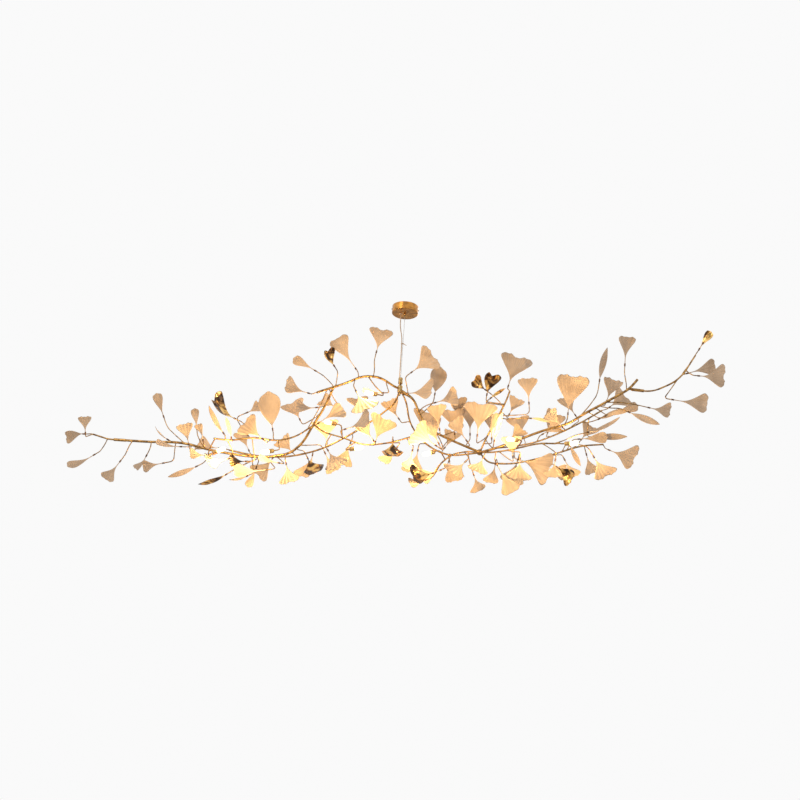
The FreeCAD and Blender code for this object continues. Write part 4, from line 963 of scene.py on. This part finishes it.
class CHANDELIER_OT_boughs(bpy.types.Operator):
    """Casts a skin with eased joints and bark over every bough"""
    bl_idname = "chandelier.boughs"
    bl_label = "Boughs"

    def execute(self, context):
        look = context.scene.bough_settings
        tree = bark_tree()
        for node in BOUGHS:
            scratch = link(node + "_scratch", mesh_from(welded(node), node + "_copy"))
            skin = scratch.modifiers.new("skin", "REMESH")
            skin.mode = "VOXEL"
            skin.voxel_size = look.skin_size
            run_tree(scratch, tree, {
                "Knot Depth": look.knot_depth, "Knot Size": look.knot_size, "Grain Depth": look.grain_depth,
                "Grain Size": look.grain_size, "Finish": finish_material("antique_brass")})
            mesh = baked(scratch, node)
            place_in_box("cast_" + node, mesh, node)
        return {"FINISHED"}


# ---- lamps
class CHANDELIER_OT_bulbs(bpy.types.Operator):
    """Blows the eight capsule bulbs"""
    bl_idname = "chandelier.bulbs"
    bl_label = "Bulbs"
    light_place = 0.65  # Share of a bulb's length at which its light stands.

    def light(self, look, node, middle, radius):
        """The light that a bulb sheds from inside its glass, which throws no shadow of its own."""
        glow = bpy.data.lights.new("light_of_" + node, "POINT")
        glow.energy = look.power
        glow.color = look.glow
        glow.shadow_soft_size = radius
        lamp = link("light_of_" + node, glow)
        lamp.location = middle
        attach(lamp, body_of_node(node))

    def execute(self, context):
        look = context.scene.lamp_settings
        holders = [centroid for points, centroid in solids_of("lamp_holders")]
        for node in BULBS:
            points, centroid = solids_of(node)[0]
            holder = min(holders, key=lambda middle: np.linalg.norm(middle - centroid))
            axis = (centroid - holder) / np.linalg.norm(centroid - holder)
            foot = holder + axis * ((points - holder) @ axis).min()
            along = (points - foot) @ axis
            radii = np.linalg.norm(points - foot - np.outer(along, axis), axis=1)
            radius = radii.max()
            mesh = turned(profile("bulb", radius, 0.0, along.max()), 40, foot, axis)
            glass = link("blown_" + node, mesh)
            glass.visible_shadow = False
            stand_in(glass, node)
            self.light(look, node, foot + axis * (self.light_place * along.max()), radius)
        return {"FINISHED"}


# ---- cord and wire
class CHANDELIER_OT_power_cord(bpy.types.Operator):
    """Runs the power cord from the terminal block down to the coupling"""
    bl_idname = "chandelier.power_cord"
    bl_label = "Power Cord"

    def execute(self, context):
        curve = bpy.data.curves.new("power_cord_line", "CURVE")
        curve.dimensions = "3D"
        curve.bevel_depth = CORD_DIAMETER / 2
        curve.bevel_resolution = 6
        curve.resolution_u = 10
        curve.use_fill_caps = True
        spline = curve.splines.new("NURBS")
        spline.points.add(len(CORD_POINTS) - 1)
        for point, place in zip(spline.points, CORD_POINTS):
            point.co = (*(MM * value for value in place), 1.0)
        spline.order_u = 3
        spline.use_endpoint_u = True
        piece = link("sheathed_power_cord", curve)
        stand_in(piece, "power_cord")
        return {"FINISHED"}


class CHANDELIER_OT_suspension_wire(bpy.types.Operator):
    """Lays the strands of the steel suspension wire"""
    bl_idname = "chandelier.suspension_wire"
    bl_label = "Suspension Wire"
    strands = 7
    lay_length = 12 * MM
    ring_spacing = 0.5 * MM

    def execute(self, context):
        low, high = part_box("suspension_wire")
        rings = int((high[2] - low[2]) / self.ring_spacing)
        around = 4 * self.strands
        rings_of_points = []
        for ring in range(rings + 1):
            level = low[2] + (high[2] - low[2]) * ring / rings
            twist = math.tau * (level - low[2]) / self.lay_length
            points = []
            for step in range(around):
                angle = math.tau * step / around
                crown = abs(math.cos(self.strands * angle / 2))
                radius = WIRE_DIAMETER / 2 * (0.84 + 0.16 * crown)
                points.append((radius * math.cos(angle + twist), radius * math.sin(angle + twist), level))
            rings_of_points.append(points)
        piece = link("stranded_suspension_wire",
                     ringed_mesh("stranded_suspension_wire", rings_of_points, capped=True))
        stand_in(piece, "suspension_wire")
        return {"FINISHED"}


# ---- ceiling parts
def box_of(node):
    """Centre in X and Y, radius, bottom and top of a node's box."""
    low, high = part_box(node)
    centre = ((low[0] + high[0]) / 2, (low[1] + high[1]) / 2)
    return centre, (high[1] - low[1]) / 2, low[2], high[2]


def drill(piece, cutters):
    """Cuts holes through a piece and gives back a plain mesh."""
    for cutter in cutters:
        modifier = piece.modifiers.new("hole", "BOOLEAN")
        modifier.operation = "DIFFERENCE"
        modifier.solver = "EXACT"
        modifier.object = cutter
    mesh = baked(piece, piece.name)
    for cutter in cutters:
        drop(cutter)
    return mesh


class CHANDELIER_OT_canopy(bpy.types.Operator):
    """Spins the canopy from gold sheet and hammers it lightly"""
    bl_idname = "chandelier.canopy"
    bl_label = "Canopy"
    segments = 192
    cord_hole = 4.1 * MM
    screw_hole = 2.1 * MM
    screw_level = -12 * MM

    def execute(self, context):
        look = context.scene.ceiling_settings
        centre, radius, bottom, top = box_of("canopy")
        points = profile("canopy", radius, bottom, top)
        inner = points[0][0]
        piece = link("spun_canopy", turned(points, self.segments, (0, 0, 0), (0, 0, 1)))
        cutters = [link("cutter", turned(
            [(self.cord_hole, bottom - 5 * MM), (self.cord_hole, bottom + 5 * MM)], 48,
            (*box_of("cord_grommet")[0], 0), (0, 0, 1)))]
        for sign in (-1, 1):
            cutters.append(link("cutter", turned(
                [(self.screw_hole, inner - 2 * MM), (self.screw_hole, radius + 2 * MM)], 32,
                (0, 0, self.screw_level), (sign, 0, 0))))
        dents = link("dents", drill(piece, cutters))
        texture = bpy.data.textures.new("hammer_marks", "CLOUDS")
        texture.noise_scale = look.dent_size
        texture.noise_depth = 0
        hammer = dents.modifiers.new("hammer", "DISPLACE")
        hammer.texture = texture
        hammer.texture_coords = "LOCAL"
        hammer.mid_level = 1.0
        hammer.strength = look.dent_depth
        mesh = baked(dents, "spun_canopy")
        bpy.data.textures.remove(texture)
        mesh.shade_smooth()
        mesh.set_sharp_from_angle(angle=math.radians(40))
        place_in_box("spun_canopy", mesh, "canopy")
        return {"FINISHED"}


class CHANDELIER_OT_fittings(bpy.types.Operator):
    """Turns the round fittings between the ceiling and the boughs"""
    bl_idname = "chandelier.fittings"
    bl_label = "Fittings"
    # Each piece's first word, its facets, and the depth in mm and number of its knurls.
    pieces = {
        "coupling_cap": ("turned", 96, 0, 0), "coupling_ring": ("knurled", 180, 0.12, 45),
        "swivel_stem": ("turned", 96, 0, 0), "hub": ("turned", 96, 0, 0), "hub_cover": ("turned", 96, 0, 0),
        "gripper_body": ("turned", 96, 0, 0), "gripper_nipple": ("turned", 64, 0, 0),
        "cord_grommet": ("moulded", 64, 0, 0)}

    def execute(self, context):
        for node, (word, segments, knurl, teeth) in self.pieces.items():
            centre, radius, bottom, top = box_of(node)
            mesh = turned(profile(node, radius, bottom, top), segments, (*centre, 0), (0, 0, 1),
                          knurl * MM, teeth)
            stand_in(link("%s_%s" % (word, node), mesh), node)
        return {"FINISHED"}


class CHANDELIER_OT_side_screws(bpy.types.Operator):
    """Turns and knurls the two thumbscrews that hold the canopy"""
    bl_idname = "chandelier.side_screws"
    bl_label = "Canopy Side Screws"
    knurl = 0.13 * MM
    teeth = 24

    def execute(self, context):
        bm = bmesh.new()
        for points, centroid in solids_of("canopy_side_screws"):
            reach = np.abs(points)
            radius = reach[:, 1].max() - 0.15 * MM
            level = (points[:, 2].max() + points[:, 2].min()) / 2
            screw = turned(profile("canopy_side_screw", radius, reach[:, 0].min(), reach[:, 0].max()), 96,
                           (0, 0, level), (math.copysign(1, centroid[0]), 0, 0), self.knurl, self.teeth)
            bm.from_mesh(screw)
            bpy.data.meshes.remove(screw)
        mesh = mesh_from(bm, "knurled_side_screws")
        mesh.shade_smooth()
        place_in_box("knurled_side_screws", mesh, "canopy_side_screws")
        return {"FINISHED"}


class CHANDELIER_OT_plain_fittings(bpy.types.Operator):
    """Eases the edges of the pressed, cut and moulded fittings"""
    bl_idname = "chandelier.plain_fittings"
    bl_label = "Pressed and Moulded Fittings"
    # Width of each piece's eased edges in mm.
    edges = {"ceiling_bracket": 0.35, "gripper_nut": 0.4, "wire_stop": 0.4, "terminal_block": 0.3,
             "earth_screw": 0.3, "cord_tie": 0.15}

    def execute(self, context):
        for node, width in self.edges.items():
            mesh = mesh_from(welded(node), node + "_copy")
            bm = bmesh.new()
            bm.from_mesh(mesh)
            bmesh.ops.dissolve_limit(bm, angle_limit=math.radians(1), verts=bm.verts, edges=bm.edges)
            bm.to_mesh(mesh)
            bm.free()
            scratch = link(node + "_scratch", mesh)
            bevel = scratch.modifiers.new("eased_edges", "BEVEL")
            bevel.width = width * MM
            bevel.segments = 3
            bevel.limit_method = "ANGLE"
            bevel.angle_limit = math.radians(40)
            bevel.use_clamp_overlap = True
            mesh = baked(scratch, node)
            mesh.shade_smooth()
            mesh.set_sharp_from_angle(angle=math.radians(35))
            place_in_box("eased_" + node, mesh, node)
        return {"FINISHED"}


# ---- stage
class CHANDELIER_OT_camera(bpy.types.Operator):
    """Places the camera below and in front of the tangle, at the photograph's angle"""
    bl_idname = "chandelier.camera"
    bl_label = "Camera"
    aim = Vector((0, 0, -512 * MM))
    # Where the aim lies in the 800 pixel picture, right of and below its middle.
    aim_right_px = -2.6
    aim_below_px = 28.0
    picture_px = 800

    def execute(self, context):
        look = context.scene.stage_settings
        forward = Vector((0, math.cos(look.below), math.sin(look.below)))
        level_right = Vector((1, 0, 0))
        level_up = level_right.cross(forward)
        right = level_right * math.cos(look.roll) + level_up * math.sin(look.roll)
        up = level_up * math.cos(look.roll) - level_right * math.sin(look.roll)
        px = look.frame_width / self.picture_px
        centre = self.aim - right * (self.aim_right_px * px) + up * (self.aim_below_px * px)
        data = bpy.data.cameras.new("camera")
        data.sensor_width = 36.0
        data.lens = data.sensor_width * look.distance / look.frame_width
        camera = link("camera", data)
        turn = Matrix((right, up, -forward)).transposed().to_4x4()
        camera.matrix_world = Matrix.Translation(centre - forward * look.distance) @ turn
        context.scene.camera = camera
        return {"FINISHED"}


class CHANDELIER_OT_stage(bpy.types.Operator):
    """Builds the pale floor, the backdrop and the soft studio lamps"""
    bl_idname = "chandelier.stage"
    bl_label = "Stage"
    floor_radius = 14.0
    lamp_aim = Vector((0, 0, -0.5))
    # Name, place, diameter, power in watts and tone of each lamp.
    lamps = [("key", (-2.2, -3.0, 0.6), 1.6, 42, (1.0, 0.95, 0.88)),
             ("fill", (2.8, -2.6, -1.2), 2.0, 20, (1.0, 0.97, 0.93)),
             ("rim", (0.6, 2.8, 0.9), 1.8, 24, (1.0, 0.97, 0.94))]

    def world(self, look):
        world = bpy.data.worlds.new("backdrop")
        world.use_nodes = True
        bpy.context.scene.world = world
        tree = world.node_tree
        path = add_node(tree, "ShaderNodeLightPath")
        seen = math_node(tree, "MAXIMUM", path.outputs["Is Camera Ray"], path.outputs["Is Glossy Ray"])
        seen = math_node(tree, "MAXIMUM", seen, path.outputs["Is Transmission Ray"])
        background = tree.nodes["Background"]
        background.inputs["Color"].default_value = (1.0, 1.0, 1.0, 1.0)
        feed(tree, background, {"Strength": spread(tree, seen, look.ambient, look.backdrop)})

    def floor(self, look):
        bm = bmesh.new()
        bmesh.ops.create_circle(bm, cap_ends=True, radius=self.floor_radius, segments=96)
        bmesh.ops.translate(bm, verts=bm.verts, vec=(0, 0, -look.floor_level))
        mesh = mesh_from(bm, "floor")
        material, tree, shader, point = new_material("pale_floor", {
            "Specular IOR Level": 0.0, "Emission Color": (1.0, 1.0, 1.0, 1.0)})
        tones = ramp(tree, noise(tree, point, 0.4, detail=2.0),
                     [(0.3, (0.86, 0.86, 0.86)), (0.7, (0.89, 0.89, 0.89))])
        seen = output_of(tree, "ShaderNodeLightPath", output="Is Camera Ray")
        feed(tree, shader, {
            "Base Color": tones, "Roughness": spread(tree, noise(tree, point, 0.1), 0.8, 0.9),
            "Emission Strength": spread(tree, seen, 0.0, look.floor_glow)})
        mesh.materials.append(material)
        link("floor", mesh)

    def execute(self, context):
        look = context.scene.stage_settings
        self.world(look)
        self.floor(look)
        for name, place, size, power, tone in self.lamps:
            data = bpy.data.lights.new(name, "AREA")
            data.shape = "DISK"
            data.size = size
            data.energy = power
            data.color = tone
            lamp = link(name, data)
            turn = (self.lamp_aim - Vector(place)).to_track_quat("-Z", "Y").to_matrix().to_4x4()
            lamp.matrix_world = Matrix.Translation(place) @ turn
        context.scene.view_settings.view_transform = "Standard"
        return {"FINISHED"}


class CHANDELIER_PT_panel(bpy.types.Panel):
    """Steps of the chandelier, in the order that they are made"""
    bl_idname = "CHANDELIER_PT_panel"
    bl_label = "Branch Chandelier"
    bl_space_type = "VIEW_3D"
    bl_region_type = "UI"
    bl_category = "Chandelier"

    def draw(self, context):
        for operator in OPERATORS:
            self.layout.operator(operator.bl_idname)
        for name in SETTINGS:
            group = getattr(context.scene, name)
            for key in group.bl_rna.properties.keys():
                if key not in ("rna_type", "name"):
                    self.layout.prop(group, key)


SETTINGS = {
    "leaf_settings": LeafSettings,
    "bough_settings": BoughSettings,
    "lamp_settings": LampSettings,
    "ceiling_settings": CeilingSettings,
    "stage_settings": StageSettings,
}
OPERATORS = [
    CHANDELIER_OT_camera, CHANDELIER_OT_power_cord, CHANDELIER_OT_suspension_wire, CHANDELIER_OT_canopy,
    CHANDELIER_OT_fittings, CHANDELIER_OT_side_screws, CHANDELIER_OT_plain_fittings, CHANDELIER_OT_boughs,
    CHANDELIER_OT_ferrules, CHANDELIER_OT_porcelain_leaves, CHANDELIER_OT_gilded_leaves,
    CHANDELIER_OT_lamp_holders, CHANDELIER_OT_bulbs, CHANDELIER_OT_stage,
]


def register():
    for group in SETTINGS.values():
        bpy.utils.register_class(group)
    for name, group in SETTINGS.items():
        setattr(bpy.types.Scene, name, PointerProperty(type=group))
    for operator in OPERATORS:
        bpy.utils.register_class(operator)
    bpy.utils.register_class(CHANDELIER_PT_panel)


def unregister():
    bpy.utils.unregister_class(CHANDELIER_PT_panel)
    for operator in reversed(OPERATORS):
        bpy.utils.unregister_class(operator)
    for name, group in SETTINGS.items():
        delattr(bpy.types.Scene, name)
        bpy.utils.unregister_class(group)


def main():
    register()
    for operator in OPERATORS:
        getattr(bpy.ops.chandelier, operator.bl_idname.split(".")[1])()


if __name__ == "__main__":
    main()
